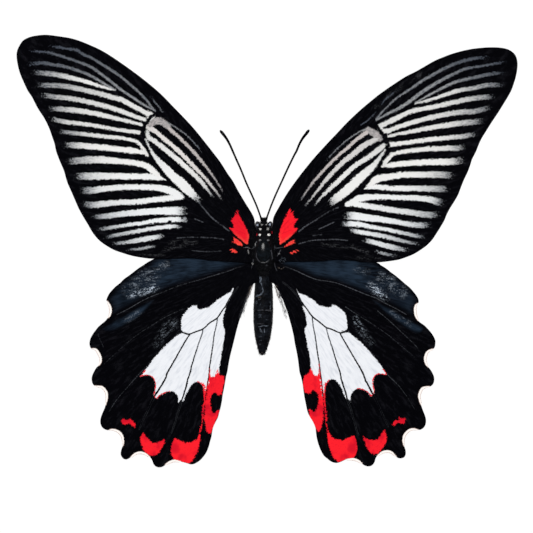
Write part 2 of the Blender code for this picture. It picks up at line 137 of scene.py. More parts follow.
HIND_RIGHT = (
    (3.5, 0.5), (8.0, 2.0), (14.0, 2.5), (20.0, 1.8), (26.0, -0.2), (31.67, -2.87),
    (32.9, -3.7), (34.3, -4.56), (35.6, -5.6), (36.96, -6.6), (38.3, -7.7), (39.65, -8.9),
    (41.0, -10.0), (42.06, -11.2), (42.8, -12.15), (43.3, -13.1), (43.46, -13.9), (43.3, -14.3),
    (42.8, -14.56), (42.4, -15.2), (42.3, -16.2), (42.4, -17.15), (42.7, -18.3), (43.3, -19.2),
    (44.1, -19.9), (45.0, -20.5), (45.8, -21.3), (46.8, -22.4), (47.6, -23.6), (48.1, -24.75),
    (48.1, -25.8), (47.9, -26.7), (47.4, -27.2), (46.7, -27.4), (46.0, -27.7), (45.4, -28.5),
    (45.1, -29.5), (45.1, -30.4), (45.4, -31.3), (46.1, -32.15), (46.85, -33.1), (47.46, -34.2),
    (47.8, -35.3), (47.7, -36.4), (47.3, -37.2), (46.5, -37.7), (45.7, -37.7), (44.8, -37.9),
    (44.1, -38.4), (43.6, -39.4), (43.5, -40.5), (43.7, -41.5), (44.1, -42.7), (44.5, -43.95),
    (45.0, -45.2), (45.4, -46.4), (45.5, -47.5), (45.25, -48.6), (44.6, -49.4), (43.7, -49.8),
    (42.7, -49.7), (41.8, -49.45), (40.9, -49.65), (40.1, -50.3), (39.4, -51.2), (39.05, -52.4),
    (39.1, -53.5), (39.5, -54.6), (39.8, -55.6), (39.8, -56.7), (39.36, -57.5), (38.4, -57.8),
    (37.5, -57.6), (36.8, -56.9), (36.1, -56.15), (35.15, -55.7), (34.2, -55.7), (33.3, -56.0),
    (32.3, -56.7), (31.5, -57.6), (31.2, -58.6), (30.85, -59.3), (30.2, -59.88), (29.2, -60.06),
    (28.1, -59.7), (27.3, -59.0), (26.4, -58.3), (25.5, -57.95), (24.9, -57.86), (23.9, -57.93),
    (22.85, -58.25), (22.0, -58.65), (21.2, -58.95), (20.4, -59.1), (19.5, -58.95), (18.6, -58.5),
    (17.9, -57.9), (17.06, -57.25), (16.4, -56.26), (15.8, -55.0), (15.3, -53.6), (14.9, -51.95),
    (14.7, -50.5), (14.5, -49.1), (13.8, -47.5), (12.9, -46.0), (12.3, -44.6), (11.86, -42.6),
    (11.5, -40.8), (11.2, -38.85), (10.9, -36.7), (10.5, -34.9), (10.1, -33.6), (9.7, -30.5),
    (9.3, -28.1), (8.8, -25.7), (8.4, -23.3), (7.85, -20.9), (7.3, -18.96), (6.75, -17.0),
    (6.1, -15.3), (5.45, -13.5), (4.7, -12.2), (4.25, -11.1), (3.5, -9.9), (2.9, -8.9), (1.7, -8.2),
    (1.5, -6.1), (2.2, -4.4), (3.2, -2.4),
)

# Pale stripes of the forewings, outer end first: warmth, widths, tones, points
FORE_LEFT_STRIPES = (
    (0.2, (0.6, 0.7, 0.45), (0.0, 0.08, 0.2, 0.28, 0.3),
     ((-60.3, 57.8), (-55.6, 56.9), (-52.3, 56.5), (-50.5, 55.3), (-47.9, 54.2), (-45.4, 52.6),
      (-42.8, 51.0), (-39.7, 48.9), (-36.9, 46.5), (-34.7, 44.6), (-32.4, 42.1), (-31.0, 40.2),
      (-30.35, 39.6))),
    (0.2, (0.5, 0.7, 0.7, 0.5), (0.0, 0.12, 0.28, 0.4, 0.35),
     ((-66.1, 56.2), (-61.0, 55.85), (-58.5, 55.3), (-53.6, 53.8), (-49.0, 52.1), (-46.9, 50.85),
      (-42.3, 47.4), (-40.0, 45.5), (-38.2, 44.3), (-35.5, 42.5), (-32.6, 40.7), (-30.35, 39.6))),
    (0.2, (0.9, 0.8, 0.7, 0.5), (0.0, 0.08, 0.2, 0.35, 0.5),
     ((-66.2, 52.4), (-62.3, 52.8), (-59.7, 52.5), (-54.6, 51.6), (-49.5, 49.8), (-46.9, 48.5),
      (-44.4, 47.0), (-41.5, 45.3))),
    (0.3, (1.3, 1.3, 1.2, 0.8, 0.3), (0.05, 0.6, 0.95, 0.95, 0.8),
     ((-64.9, 50.2), (-59.7, 49.8), (-54.6, 48.9), (-49.5, 47.6), (-44.4, 46.0), (-41.5, 45.2))),
    (0.4, (1.3,), (0.2, 0.7, 0.85, 0.9, 0.9, 0.8),
     ((-63.8, 46.6), (-57.2, 46.5), (-52.05, 45.7), (-46.9, 44.55), (-41.8, 43.15), (-39.7, 42.6),
      (-37.7, 41.5), (-33.6, 39.3), (-31.0, 38.15), (-32.0, 37.3), (-32.8, 36.9))),
    (0.4, (1.2, 1.3, 1.2, 1.0), (0.2, 0.7, 0.85, 0.9, 0.9),
     ((-62.6, 44.05), (-59.2, 43.5), (-54.6, 43.0), (-49.5, 42.1), (-44.4, 40.85), (-39.2, 39.2),
      (-34.6, 37.4), (-32.8, 36.9))),
    (0.4, (1.3, 1.4, 1.3, 1.0, 0.7), (0.2, 0.8, 0.9, 0.9, 0.9),
     ((-60.3, 40.2), (-56.7, 39.95), (-52.05, 39.55), (-46.9, 38.7), (-41.8, 37.5), (-36.9, 36.35),
      (-34.1, 35.6))),
    (0.4, (1.2, 1.1, 1.0, 0.9, 1.0), (0.2, 0.8, 0.9, 0.9, 0.9),
     ((-59.7, 37.4), (-56.7, 36.6), (-52.05, 36.0), (-46.9, 35.3), (-41.8, 34.4), (-34.6, 33.4))),
    (0.5, (1.1, 1.0, 0.9, 0.8, 0.9), (0.2, 0.8, 0.95, 0.95, 0.95, 0.9),
     ((-57.7, 33.8), (-53.6, 33.3), (-49.5, 32.9), (-44.4, 32.3), (-40.0, 31.9), (-36.9, 31.3),
      (-35.7, 31.0), (-34.6, 30.2), (-33.5, 28.6), (-32.6, 27.1))),
    (0.5, (1.4, 1.6, 1.6, 1.5, 1.5, 1.1, 0.4), (0.3, 0.9, 1.0, 1.0, 1.0, 0.9),
     ((-55.6, 29.9), (-52.0, 29.8), (-46.9, 29.4), (-41.8, 28.9), (-36.7, 28.3), (-34.0, 27.9),
      (-32.6, 27.3))),
    (0.3, (1.6, 1.9, 1.9, 1.5, 1.5, 1.7, 1.6, 1.2, 0.3), (0.3, 0.9, 1.0, 1.0, 1.0, 1.0),
     ((-55.0, 25.3), (-50.0, 25.7), (-45.0, 25.75), (-40.0, 25.35), (-36.0, 24.95), (-33.0, 24.2),
      (-31.0, 22.8), (-29.3, 21.0), (-27.8, 20.3))),
    (0.1, (1.8, 1.9, 1.7, 1.6, 1.6, 0.2), (0.4, 0.9, 1.0, 1.0, 1.0),
     ((-52.6, 21.2), (-48.0, 21.2), (-41.8, 21.25), (-36.7, 21.15), (-31.5, 21.0), (-27.4, 20.2))),
    (0.0, (2.0, 1.8, 1.6, 1.5, 1.5, 1.6, 1.9, 1.9, 1.5), (0.4, 0.9, 1.0, 1.0, 1.0),
     ((-51.0, 17.3), (-48.2, 17.2), (-45.4, 17.6), (-40.5, 18.05), (-35.4, 18.15), (-30.0, 18.0),
      (-27.0, 17.4), (-25.0, 16.6), (-23.0, 15.5))),
    (0.0, (1.0, 1.6, 1.6, 1.4, 1.4, 1.5, 1.5, 1.0), (0.3, 0.8, 0.95, 1.0, 1.0),
     ((-50.5, 13.7), (-48.7, 13.2), (-45.4, 13.4), (-40.5, 13.85), (-35.0, 14.1), (-30.0, 14.7),
      (-26.0, 15.1), (-23.0, 15.2))),
    (-0.3, (0.8, 1.4, 1.5, 1.65, 1.8, 2.2, 2.1, 0.6), (0.3, 0.8, 0.95, 1.0, 1.0, 0.6),
     ((-47.9, 9.9), (-44.4, 10.0), (-39.2, 10.7), (-35.0, 11.05), (-30.0, 11.4), (-25.0, 11.5),
      (-22.0, 11.5), (-20.5, 12.0))),
    (-0.4, (0.9, 0.9, 0.9, 0.9, 1.2, 1.4, 1.1, 0.3), (0.3, 0.8, 0.95, 1.0, 1.0, 0.5),
     ((-46.4, 6.3), (-42.8, 6.8), (-38.0, 7.6), (-35.0, 7.95), (-30.0, 8.75), (-25.0, 9.1),
      (-23.0, 9.0), (-19.8, 8.2))),
    (-0.4, (0.8, 0.4), (0.8, 0.4), ((-23.5, 9.2), (-22.5, 9.4), (-21.5, 9.4))),
    (-0.5, (0.8, 0.9, 1.0, 1.0, 1.0, 0.3), (0.3, 0.7, 0.9, 1.0, 0.5),
     ((-44.4, 4.0), (-40.5, 4.9), (-35.4, 5.8), (-30.0, 6.7), (-25.0, 7.2), (-21.5, 6.6))),
    (-0.5, (0.5, 0.8, 1.3, 1.2, 1.0, 0.5), (0.3, 0.7, 0.9, 0.9, 0.5),
     ((-42.6, 2.3), (-39.2, 2.6), (-35.0, 3.3), (-30.0, 4.2), (-27.5, 4.5), (-26.5, 4.4))),
    (-0.5, (0.5, 0.7, 0.5), (0.2, 0.5, 0.6, 0.3), ((-38.7, 0.5), (-34.5, 0.9), (-32.0, 1.4), (-28.5, 1.8))),
    (0.2, (0.4,), (0.1, 0.25, 0.1), ((-31.5, 43.5), (-30.0, 41.5), (-28.5, 39.5), (-26.5, 37.6))),
    (0.5, (0.3, 0.2), (0.5, 0.25, 0.1),
     ((-29.5, 37.2), (-26.5, 36.0), (-22.95, 33.8), (-20.9, 32.1), (-19.1, 30.2), (-17.6, 28.4),
      (-16.0, 25.9))),
    (0.9, (1.5, 2.0, 1.6), (0.6,), ((-32.0, 35.0), (-31.0, 36.2), (-29.7, 36.7), (-28.2, 36.3),
     (-26.8, 35.2))),
    (1.0, (0.9, 0.9, 0.8, 0.8, 0.6, 0.45, 0.4, 0.3), (0.75, 0.75, 0.7, 0.55, 0.4),
     ((-27.0, 35.1), (-25.6, 33.8), (-22.05, 30.6), (-18.5, 26.8), (-15.1, 22.6), (-13.5, 20.3),
      (-12.2, 18.3), (-10.3, 14.9))),
    (0.75, (1.5, 1.2, 1.1, 1.1, 1.0, 0.8, 0.6, 0.42, 0.32), (0.85, 0.95, 0.9, 0.75, 0.5),
     ((-32.1, 34.9), (-30.35, 33.8), (-26.5, 30.6), (-22.95, 27.5), (-19.4, 23.9), (-15.8, 20.1),
      (-14.2, 18.1), (-12.4, 15.8), (-10.7, 13.2))),
    (0.3, (0.8, 1.2, 1.2, 1.3, 1.3, 1.1, 0.9, 0.5, 0.35), (0.8, 0.9, 0.95, 0.8, 0.5),
     ((-32.6, 33.8), (-32.1, 32.0), (-30.6, 31.1), (-26.5, 27.9), (-22.05, 24.1), (-18.0, 20.3),
      (-16.2, 18.1), (-15.1, 16.7), (-13.0, 13.7))),
    (0.1, (0.6, 0.6, 0.9, 1.4, 2.0, 2.3, 2.6, 2.6, 2.0, 1.2), (0.8, 0.9, 1.0, 1.0, 0.9),
     ((-33.0, 31.5), (-32.4, 30.0), (-31.0, 27.5), (-29.2, 25.3), (-27.4, 23.5), (-25.6, 21.4),
      (-23.4, 19.6), (-21.4, 17.6), (-19.8, 16.1), (-16.9, 13.4))),
)
FORE_RIGHT_STRIPES = (
    (0.2, (0.25,), (0.0, 0.06, 0.0), ((38.4, 46.2), (36.5, 44.6), (34.5, 43.1), (33.1, 41.4))),
    (0.2, (0.25,), (0.0, 0.06, 0.0), ((32.0, 39.8), (30.3, 38.0), (29.0, 36.7), (27.3, 35.6))),
    (0.2, (0.7, 0.8, 0.8, 0.5, 0.4, 0.45), (0.0, 0.08, 0.25, 0.32, 0.3, 0.3),
     ((63.3, 54.4), (59.9, 54.2), (55.1, 53.2), (52.0, 52.0), (48.3, 50.1), (44.6, 48.0),
      (40.2, 45.0), (37.5, 43.3), (36.0, 42.0), (34.2, 40.2), (32.6, 38.5), (31.5, 37.0))),
    (0.2, (0.5, 0.6, 0.8, 0.9, 0.9, 0.8, 0.5, 0.5), (0.0, 0.15, 0.35, 0.42, 0.4, 0.4),
     ((68.05, 53.2), (61.8, 52.1), (56.8, 51.3), (52.8, 49.6), (48.3, 47.2), (43.8, 44.35),
      (40.0, 41.5), (37.1, 39.8), (34.8, 38.7), (32.8, 37.6), (31.7, 36.9))),
    (0.2, (0.8, 0.9, 0.8, 0.8, 0.5, 0.3), (0.0, 0.15, 0.3, 0.5, 0.55),
     ((67.5, 50.3), (63.3, 49.7), (58.5, 48.7), (54.2, 47.7), (50.3, 46.0), (46.3, 43.9), (42.4, 41.7))),
    (0.3, (1.1, 1.2, 1.1, 1.0, 0.9, 0.7, 0.3), (0.05, 0.45, 0.8, 0.9, 0.8),
     ((67.5, 46.5), (63.3, 46.7), (58.5, 45.75), (54.2, 45.05), (50.3, 43.8), (46.3, 42.5), (42.4, 41.5))),
    (0.4, (1.3, 1.3, 1.2, 1.2, 1.2, 1.3, 1.35), (0.2, 0.75, 0.9, 0.9, 0.9, 0.85),
     ((64.9, 43.4), (61.0, 43.2), (56.2, 42.5), (51.7, 41.5), (47.2, 40.5), (42.7, 39.7),
      (40.3, 38.95), (37.2, 37.4), (33.4, 35.6), (32.4, 34.9))),
    (0.4, (1.2, 1.4, 1.3, 1.2, 1.2, 1.2, 1.3), (0.2, 0.75, 0.9, 0.9, 0.9),
     ((63.8, 40.7), (59.6, 39.4), (55.1, 39.1), (50.6, 38.4), (46.1, 37.4), (41.5, 36.2),
      (37.0, 34.75), (34.8, 33.9), (33.2, 34.0), (32.5, 34.7))),
    (0.4, (1.6, 1.5, 1.4, 1.3, 1.1, 0.9, 0.6), (0.2, 0.8, 0.9, 0.9, 0.9),
     ((61.6, 36.6), (57.3, 36.2), (52.8, 35.7), (48.3, 35.0), (43.8, 34.2), (39.3, 33.3), (35.05, 32.5))),
    (0.4, (1.0, 1.2, 1.2, 1.2, 1.1, 1.2, 1.4), (0.2, 0.85, 0.95, 0.95, 0.95),
     ((59.9, 33.1), (56.2, 32.4), (50.8, 31.9), (45.5, 31.35), (40.1, 30.6), (37.0, 30.2), (35.3, 30.1))),
    (0.5, (1.4, 1.4, 1.3, 1.2, 1.0, 1.0, 1.2, 1.1), (0.2, 0.85, 0.95, 0.95, 0.95, 0.9),
     ((56.5, 29.7), (54.9, 29.15), (50.9, 29.0), (45.5, 28.75), (40.1, 28.2), (36.6, 27.5),
      (35.4, 26.7), (34.5, 25.65), (33.65, 24.6))),
    (0.5, (1.8, 1.8, 1.6, 1.5, 1.3, 0.4), (0.3, 0.9, 1.0, 1.0, 1.0, 0.9),
     ((55.7, 25.65), (52.2, 25.25), (45.5, 25.1), (40.1, 24.8), (36.1, 24.4), (33.1, 23.9))),
    (0.3, (1.8, 1.8, 1.6, 1.6, 1.7, 1.9, 2.0, 1.5, 0.3), (0.3, 0.9, 1.0, 1.0, 1.0, 1.0),
     ((53.3, 21.3), (49.5, 21.6), (44.7, 21.6), (39.3, 21.6), (35.0, 21.0), (33.1, 20.8),
      (31.5, 20.3), (30.4, 19.3), (28.8, 18.1))),
    (0.1, (1.7, 1.6, 1.5, 1.4, 1.3, 1.0, 0.3), (0.4, 0.9, 1.0, 1.0, 1.0),
     ((51.7, 17.6), (46.3, 17.7), (41.5, 17.8), (36.1, 17.8), (32.0, 18.2), (29.9, 18.1), (28.3, 17.7))),
    (0.0, (1.9, 1.9, 1.8, 1.6, 1.4, 1.3, 1.5, 1.9, 1.9, 1.6, 1.2), (0.4, 0.9, 1.0, 1.0, 1.0),
     ((50.3, 13.6), (49.3, 13.9), (47.9, 14.3), (46.3, 14.75), (41.5, 15.15), (36.1, 15.3),
      (30.7, 15.4), (27.5, 15.1), (26.0, 14.6), (24.8, 14.0), (23.4, 13.3))),
    (0.0, (1.8, 1.7, 1.5, 1.5, 1.5, 1.5, 1.2, 0.8), (0.3, 0.8, 0.95, 1.0, 1.0),
     ((49.3, 10.6), (46.3, 10.4), (41.5, 11.0), (36.1, 11.75), (30.7, 12.6), (27.3, 13.15),
      (25.0, 13.4), (23.3, 13.3))),
    (-0.3, (1.3, 1.5, 1.3, 1.45, 1.8, 2.1, 1.9, 0.5), (0.3, 0.8, 0.95, 1.0, 1.0, 0.6),
     ((46.8, 7.75), (44.2, 7.5), (40.1, 7.9), (34.9, 8.85), (30.0, 9.5), (25.0, 10.1),
      (23.0, 10.25), (21.5, 10.5))),
    (-0.4, (0.9, 1.0, 0.9, 0.95, 1.1, 1.3, 1.4, 1.2, 0.5), (0.3, 0.8, 0.95, 1.0, 1.0, 0.5),
     ((45.2, 4.25), (42.3, 4.6), (37.4, 5.7), (35.0, 6.2), (30.0, 7.1), (27.0, 7.7),
      (25.0, 7.85), (23.0, 7.8), (20.4, 7.3))),
    (-0.4, (0.7, 0.3), (0.8, 0.4), ((24.0, 8.1), (23.0, 8.3), (22.0, 8.4))),
    (-0.5, (0.8, 0.8, 1.1, 1.1, 1.1, 1.0, 0.5), (0.3, 0.7, 0.9, 1.0, 0.5),
     ((43.6, 2.1), (40.1, 2.85), (35.0, 4.1), (30.0, 5.1), (27.0, 5.6), (25.0, 6.0), (22.6, 6.8))),
    (-0.5, (0.9, 1.2, 1.35, 1.2, 1.0, 0.5), (0.3, 0.7, 0.9, 0.9, 0.5),
     ((40.9, 0.5), (38.0, 0.9), (35.0, 1.6), (30.0, 2.9), (28.0, 3.4), (26.6, 3.9))),
    (-0.5, (0.6, 0.9, 0.7, 0.5), (0.2, 0.5, 0.6, 0.3),
     ((37.7, -1.1), (34.8, -0.7), (32.8, -0.2), (31.2, 0.2), (29.6, 0.5))),
    (0.9, (1.6, 2.1, 1.7), (0.6,), ((29.3, 34.2), (30.6, 33.4), (31.6, 32.7), (32.4, 31.8))),
    (0.5, (0.35, 0.2), (0.6, 0.3, 0.1),
     ((29.7, 34.7), (27.2, 33.8), (25.9, 33.1), (22.95, 31.0), (19.8, 28.1), (17.3, 25.3), (16.2, 23.9))),
    (1.0, (1.2, 0.9, 0.8, 0.8, 0.75, 0.6, 0.5, 0.4, 0.3), (0.8, 0.8, 0.75, 0.6, 0.4),
     ((29.2, 33.8), (26.1, 31.5), (22.95, 28.7), (19.8, 25.9), (16.9, 22.9), (14.2, 19.9),
      (12.85, 18.1), (11.2, 15.7), (9.2, 12.8))),
    (0.68, (1.3, 1.5, 1.4, 1.2, 1.0, 0.55, 0.42, 0.34), (0.8, 0.85, 0.85, 0.75, 0.55),
     ((32.1, 31.8), (28.6, 30.1), (25.0, 27.3), (21.4, 24.4), (17.8, 20.5), (14.6, 16.5),
      (13.1, 14.7), (10.4, 11.5))),
    (0.3, (0.9, 1.5, 1.3, 1.25, 1.2, 0.9, 0.6, 0.45, 0.35), (0.8, 0.9, 0.95, 0.8, 0.5),
     ((33.7, 30.0), (32.8, 29.1), (29.7, 26.8), (25.6, 24.1), (21.6, 20.5), (17.8, 16.95),
      (16.2, 15.4), (14.5, 13.4), (12.9, 12.0))),
    (0.2, (0.5, 0.8, 1.1, 1.8, 2.2, 2.5, 2.5, 2.4, 2.2, 1.2), (0.8, 0.9, 1.0, 1.0, 0.9),
     ((34.05, 28.6), (33.05, 27.05), (31.7, 25.3), (30.35, 23.7), (28.3, 21.9), (26.3, 20.1),
      (24.5, 18.3), (22.5, 16.7), (20.7, 15.2), (17.2, 12.6))),
)

# Thin grey vein lines that show on the black near the forewing roots: width, strength, points
FORE_LEFT_LINES = (
    (0.3, 0.6, ((-9.65, 5.9), (-12.6, 8.15), (-14.8, 9.95), (-18.2, 14.0))),
    (0.25, 0.5, ((-11.2, 3.5), (-13.5, 3.9), (-17.5, 4.1), (-21.5, 4.1), (-24.2, 3.9))),
    (0.22, 0.35, ((-11.7, 0.3), (-15.8, 0.1), (-20.0, 0.4))),
    (0.25, 0.6, ((-17.0, 8.4), (-19.3, 9.3))),
)
FORE_RIGHT_LINES = (
    (0.3, 0.6, ((20.9, 12.5), (17.95, 11.1), (14.8, 9.05), (11.9, 7.3), (9.9, 5.7))),
    (0.25, 0.5, ((9.9, 2.3), (13.5, 3.2), (16.8, 3.4), (20.2, 3.55), (23.6, 3.2))),
    (0.25, 0.5, ((13.9, 4.6), (16.6, 4.9))),
    (0.25, 0.6, ((15.5, 6.4), (17.9, 7.5), (19.7, 8.3))),
)

# Main veins of the forewings round the cell, root first; the others run between stripes
FORE_LEFT_VEINS = (
    ((-3.0, 7.4), (-5.2, 9.8), (-8.0, 14.0), (-11.5, 20.0), (-15.2, 26.0), (-18.6, 30.8),
     (-22.9, 34.6), (-26.5, 37.0), (-30.3, 38.6), (-33.0, 35.8), (-34.0, 33.0), (-33.4, 30.8),
     (-32.3, 28.6), (-31.2, 26.0), (-29.2, 23.2), (-26.8, 20.5), (-23.8, 17.5), (-20.8, 14.9),
     (-16.5, 11.6), (-10.4, 6.9), (-4.6, 2.4)),
    ((-3.4, 8.8), (-9.4, 19.6), (-14.4, 27.0), (-20.8, 34.6), (-29.8, 43.8), (-40.5, 52.2),
     (-50.4, 57.6), (-60.0, 60.0)),
)
FORE_RIGHT_VEINS = (
    ((4.1, 7.6), (5.6, 9.8), (8.4, 13.6), (12.2, 19.0), (16.0, 24.8), (19.4, 28.6), (23.2, 32.2),
     (27.0, 34.9), (30.6, 36.2), (32.1, 34.6), (33.8, 32.5), (34.8, 30.5), (34.6, 28.2), (33.3, 26.0),
     (32.1, 23.5), (30.1, 21.0), (28.1, 18.5), (25.1, 16.2), (22.1, 13.5), (18.6, 12.0), (14.6, 9.5),
     (9.6, 6.0), (5.1, 2.7)),
    ((3.6, 9.0), (9.8, 19.8), (14.8, 26.0), (21.4, 33.0), (28.2, 39.6), (35.6, 45.2), (45.4, 51.0),
     (55.4, 55.3), (63.6, 56.4)),
)
# Widths of the first of them, which cuts through the stripes
CELL_VEIN_WIDTHS = (0.2, 0.3, 0.4, 0.5, 0.8, 1.0, 1.0, 0.95, 0.95, 0.9, 0.7, 0.4, 0.3)
# Frayed outer ends of the stripes: how far they go on, and over what length they fade
FRAYED_REACH = 3.1
FRAYED_LENGTH = 8.5
# Loose root ends of the lower stripes: over what length they fade, on stripes that are long enough
LOOSE_LENGTH = 5.0
SHORT_STRIPE = 7.5
# Places that the scales fan out from, and the distance at which their spread is measured
FORE_ROOT = (2.6, 4.0)
HIND_ROOT = (1.5, -3.2)
FAN_RADIUS = 25.0
# Stripes, counted from the tip, with a vein between the two of each pair
FORE_LEFT_PAIRS = ((1, 2), (3, 4), (5, 6), (7, 8), (9, 10), (11, 12), (13, 14), (15, 17), (18, 19))
FORE_RIGHT_PAIRS = ((3, 4), (5, 6), (7, 8), (9, 10), (11, 12), (13, 14), (15, 16), (17, 19), (20, 21))

# Red areas at the forewing roots: share of crimson, points
FORE_LEFT_REDS = (
    (0.4, ((-7.3, 11.97), (-6.6, 10.2), (-5.6, 8.15), (-4.7, 6.4), (-4.15, 5.0), (-4.15, 3.67),
           (-4.6, 2.2), (-6.05, 3.2), (-7.6, 4.56), (-9.0, 5.9), (-9.65, 6.9), (-8.5, 6.9),
           (-8.9, 8.4), (-8.75, 9.7), (-7.96, 10.2), (-7.7, 11.3))),
    (0.3, ((-8.5, 4.3), (-7.7, 3.8), (-6.7, 3.0), (-5.8, 2.0), (-6.05, 1.65), (-7.6, 2.2),
           (-9.2, 2.9), (-8.3, 3.0))),
    (0.3, ((-9.0, 1.1), (-8.3, 0.85), (-7.2, -0.05), (-8.1, -0.4), (-9.3, 0.3))),
)
FORE_RIGHT_REDS = (
    (0.1, ((7.4, 12.2), (8.1, 11.3), (8.2, 10.2), (8.75, 10.4), (8.9, 9.3), (9.5, 9.3),
           (9.0, 8.15), (8.5, 7.0), (9.65, 6.6), (9.3, 5.9), (7.6, 4.3), (6.05, 3.0),
           (4.7, 2.1), (4.5, 3.4), (4.3, 4.3), (4.5, 5.7), (5.2, 7.7), (5.95, 9.7), (6.7, 11.3))),
    (0.3, ((5.8, 1.4), (6.95, 2.5), (8.3, 3.4), (9.0, 3.7), (8.6, 3.0), (9.2, 2.65), (7.85, 2.1))),
    (0.4, ((7.4, -0.15), (8.3, 0.3), (9.0, 0.6), (9.8, 0.2), (9.0, -0.15), (8.1, -0.6), (7.5, -0.6))),
)

# Veins of the hindwings, of which the first four cross the white, and their widths
HIND_LEFT_VEINS = {
    "a": ((-7.1, -9.8), (-9.5, -12.9), (-10.6, -15.04), (-11.5, -16.3), (-12.9, -18.4), (-15.0, -19.8),
          (-16.9, -21.5), (-18.9, -22.3), (-20.6, -23.0), (-21.3, -23.0), (-22.6, -22.6), (-23.7, -22.2)),
    "b": ((-20.6, -23.0), (-21.3, -24.0), (-23.0, -26.9), (-24.8, -30.1), (-26.95, -33.9),
          (-27.4, -35.3), (-28.6, -37.4), (-29.6, -39.0), (-30.5, -40.3), (-31.9, -43.3),
          (-33.2, -46.0), (-34.2, -48.3), (-34.8, -49.7)),
    "c": ((-16.9, -21.5), (-17.25, -23.1), (-18.2, -25.7), (-19.2, -28.8), (-20.1, -31.8),
          (-20.6, -34.0), (-21.2, -35.6), (-21.6, -37.4), (-22.06, -39.0), (-22.5, -40.3),
          (-23.2, -42.6), (-23.95, -45.1), (-24.7, -47.5), (-25.4, -49.6), (-25.8, -50.7)),
    "d": ((-12.9, -18.4), (-13.2, -20.5), (-13.8, -23.1), (-14.2, -26.2), (-14.6, -29.0),
          (-15.0, -31.4), (-15.25, -34.0), (-15.4, -35.4), (-15.7, -37.05), (-15.9, -38.7),
          (-16.15, -40.3), (-16.3, -42.1), (-16.5, -44.05), (-16.7, -45.7), (-16.7, -47.5)),
    "e": ((-4.0, -3.4), (-6.0, -4.0), (-8.0, -4.6), (-10.0, -5.4), (-14.0, -6.6), (-18.0, -7.8),
          (-22.0, -8.9), (-25.0, -9.9), (-28.0, -11.2), (-31.0, -12.3), (-34.0, -13.7), (-38.0, -16.0),
          (-41.0, -17.5)),
    "f": ((-22.4, -15.9), (-24.5, -16.8), (-28.0, -18.5), (-31.0, -20.4), (-34.5, -22.6), (-38.0, -25.3),
          (-41.5, -28.4), (-44.6, -31.4)),
    "g": ((-24.2, -22.9), (-28.0, -26.9), (-32.0, -31.2), (-35.4, -34.8), (-38.4, -38.2), (-41.0, -41.2),
          (-43.2, -44.6)),
    "h": ((-46.4, -22.8), (-45.8, -24.4), (-44.8, -26.6)),
}
HIND_RIGHT_VEINS = {
    "a": ((5.4, -8.5), (7.6, -10.2), (9.4, -12.2), (10.9, -14.3), (12.0, -15.8), (12.86, -17.0),
          (13.8, -18.2), (15.26, -19.3), (16.6, -20.4), (17.65, -21.2), (18.96, -21.6), (20.3, -22.2),
          (21.5, -22.7), (22.7, -22.45), (23.8, -22.2)),
    "b": ((21.5, -22.7), (21.8, -23.5), (23.1, -25.7), (24.6, -28.3), (26.15, -30.95), (27.8, -33.8),
          (28.6, -36.0), (29.5, -37.6), (30.3, -39.2), (31.05, -40.7), (32.1, -42.7), (33.1, -45.0),
          (34.0, -47.0), (34.95, -48.9)),
    "c": ((17.6, -21.3), (18.1, -23.3), (18.96, -25.9), (19.8, -28.6), (20.6, -31.2), (21.5, -33.9),
          (21.8, -35.6), (22.4, -37.6), (22.9, -39.0), (23.3, -40.6), (23.8, -42.3), (24.5, -44.05),
          (25.05, -46.2), (25.7, -48.4), (26.1, -50.0), (26.6, -51.2)),
    "d": ((13.6, -18.0), (13.95, -20.9), (14.4, -23.1), (14.8, -25.7), (15.15, -28.3), (15.6, -31.2),
          (15.9, -33.8), (16.2, -35.8), (16.35, -37.6), (16.6, -39.4), (16.8, -41.2), (16.9, -43.0),
          (17.03, -44.8), (17.15, -46.6)),
    "e": ((4.2, -3.6), (6.3, -4.2), (9.0, -5.2), (12.0, -6.6), (14.5, -7.6), (18.0, -8.2), (20.5, -8.7),
          (23.0, -9.6), (26.0, -10.8), (29.0, -12.0), (31.5, -12.9), (34.0, -14.3), (37.0, -15.8),
          (40.0, -17.5)),
    "f": ((23.0, -15.4), (26.0, -17.4), (29.0, -19.2), (32.0, -21.2), (35.0, -23.3), (37.5, -25.4),
          (40.0, -27.5), (42.4, -29.6)),
    "g": ((24.2, -22.5), (28.0, -26.6), (32.0, -31.1), (35.0, -34.6), (38.0, -37.6), (40.5, -41.0),
          (42.4, -44.2)),
    "h": ((32.0, -16.5), (35.5, -19.5), (38.5, -22.3), (42.0, -25.6), (43.4, -27.2)),
}
VEIN_WIDTHS = {
    "a": (0.2, 0.36, 0.38, 0.36), "b": (0.36, 0.38, 0.45, 0.5, 0.35, 0.2), "c": (0.3, 0.36, 0.45, 0.3, 0.2),
    "d": (0.3, 0.34, 0.4, 0.5, 0.9), "e": (0.3, 0.2), "f": (0.25, 0.15), "g": (0.25, 0.15), "h": (0.25, 0.15),
}

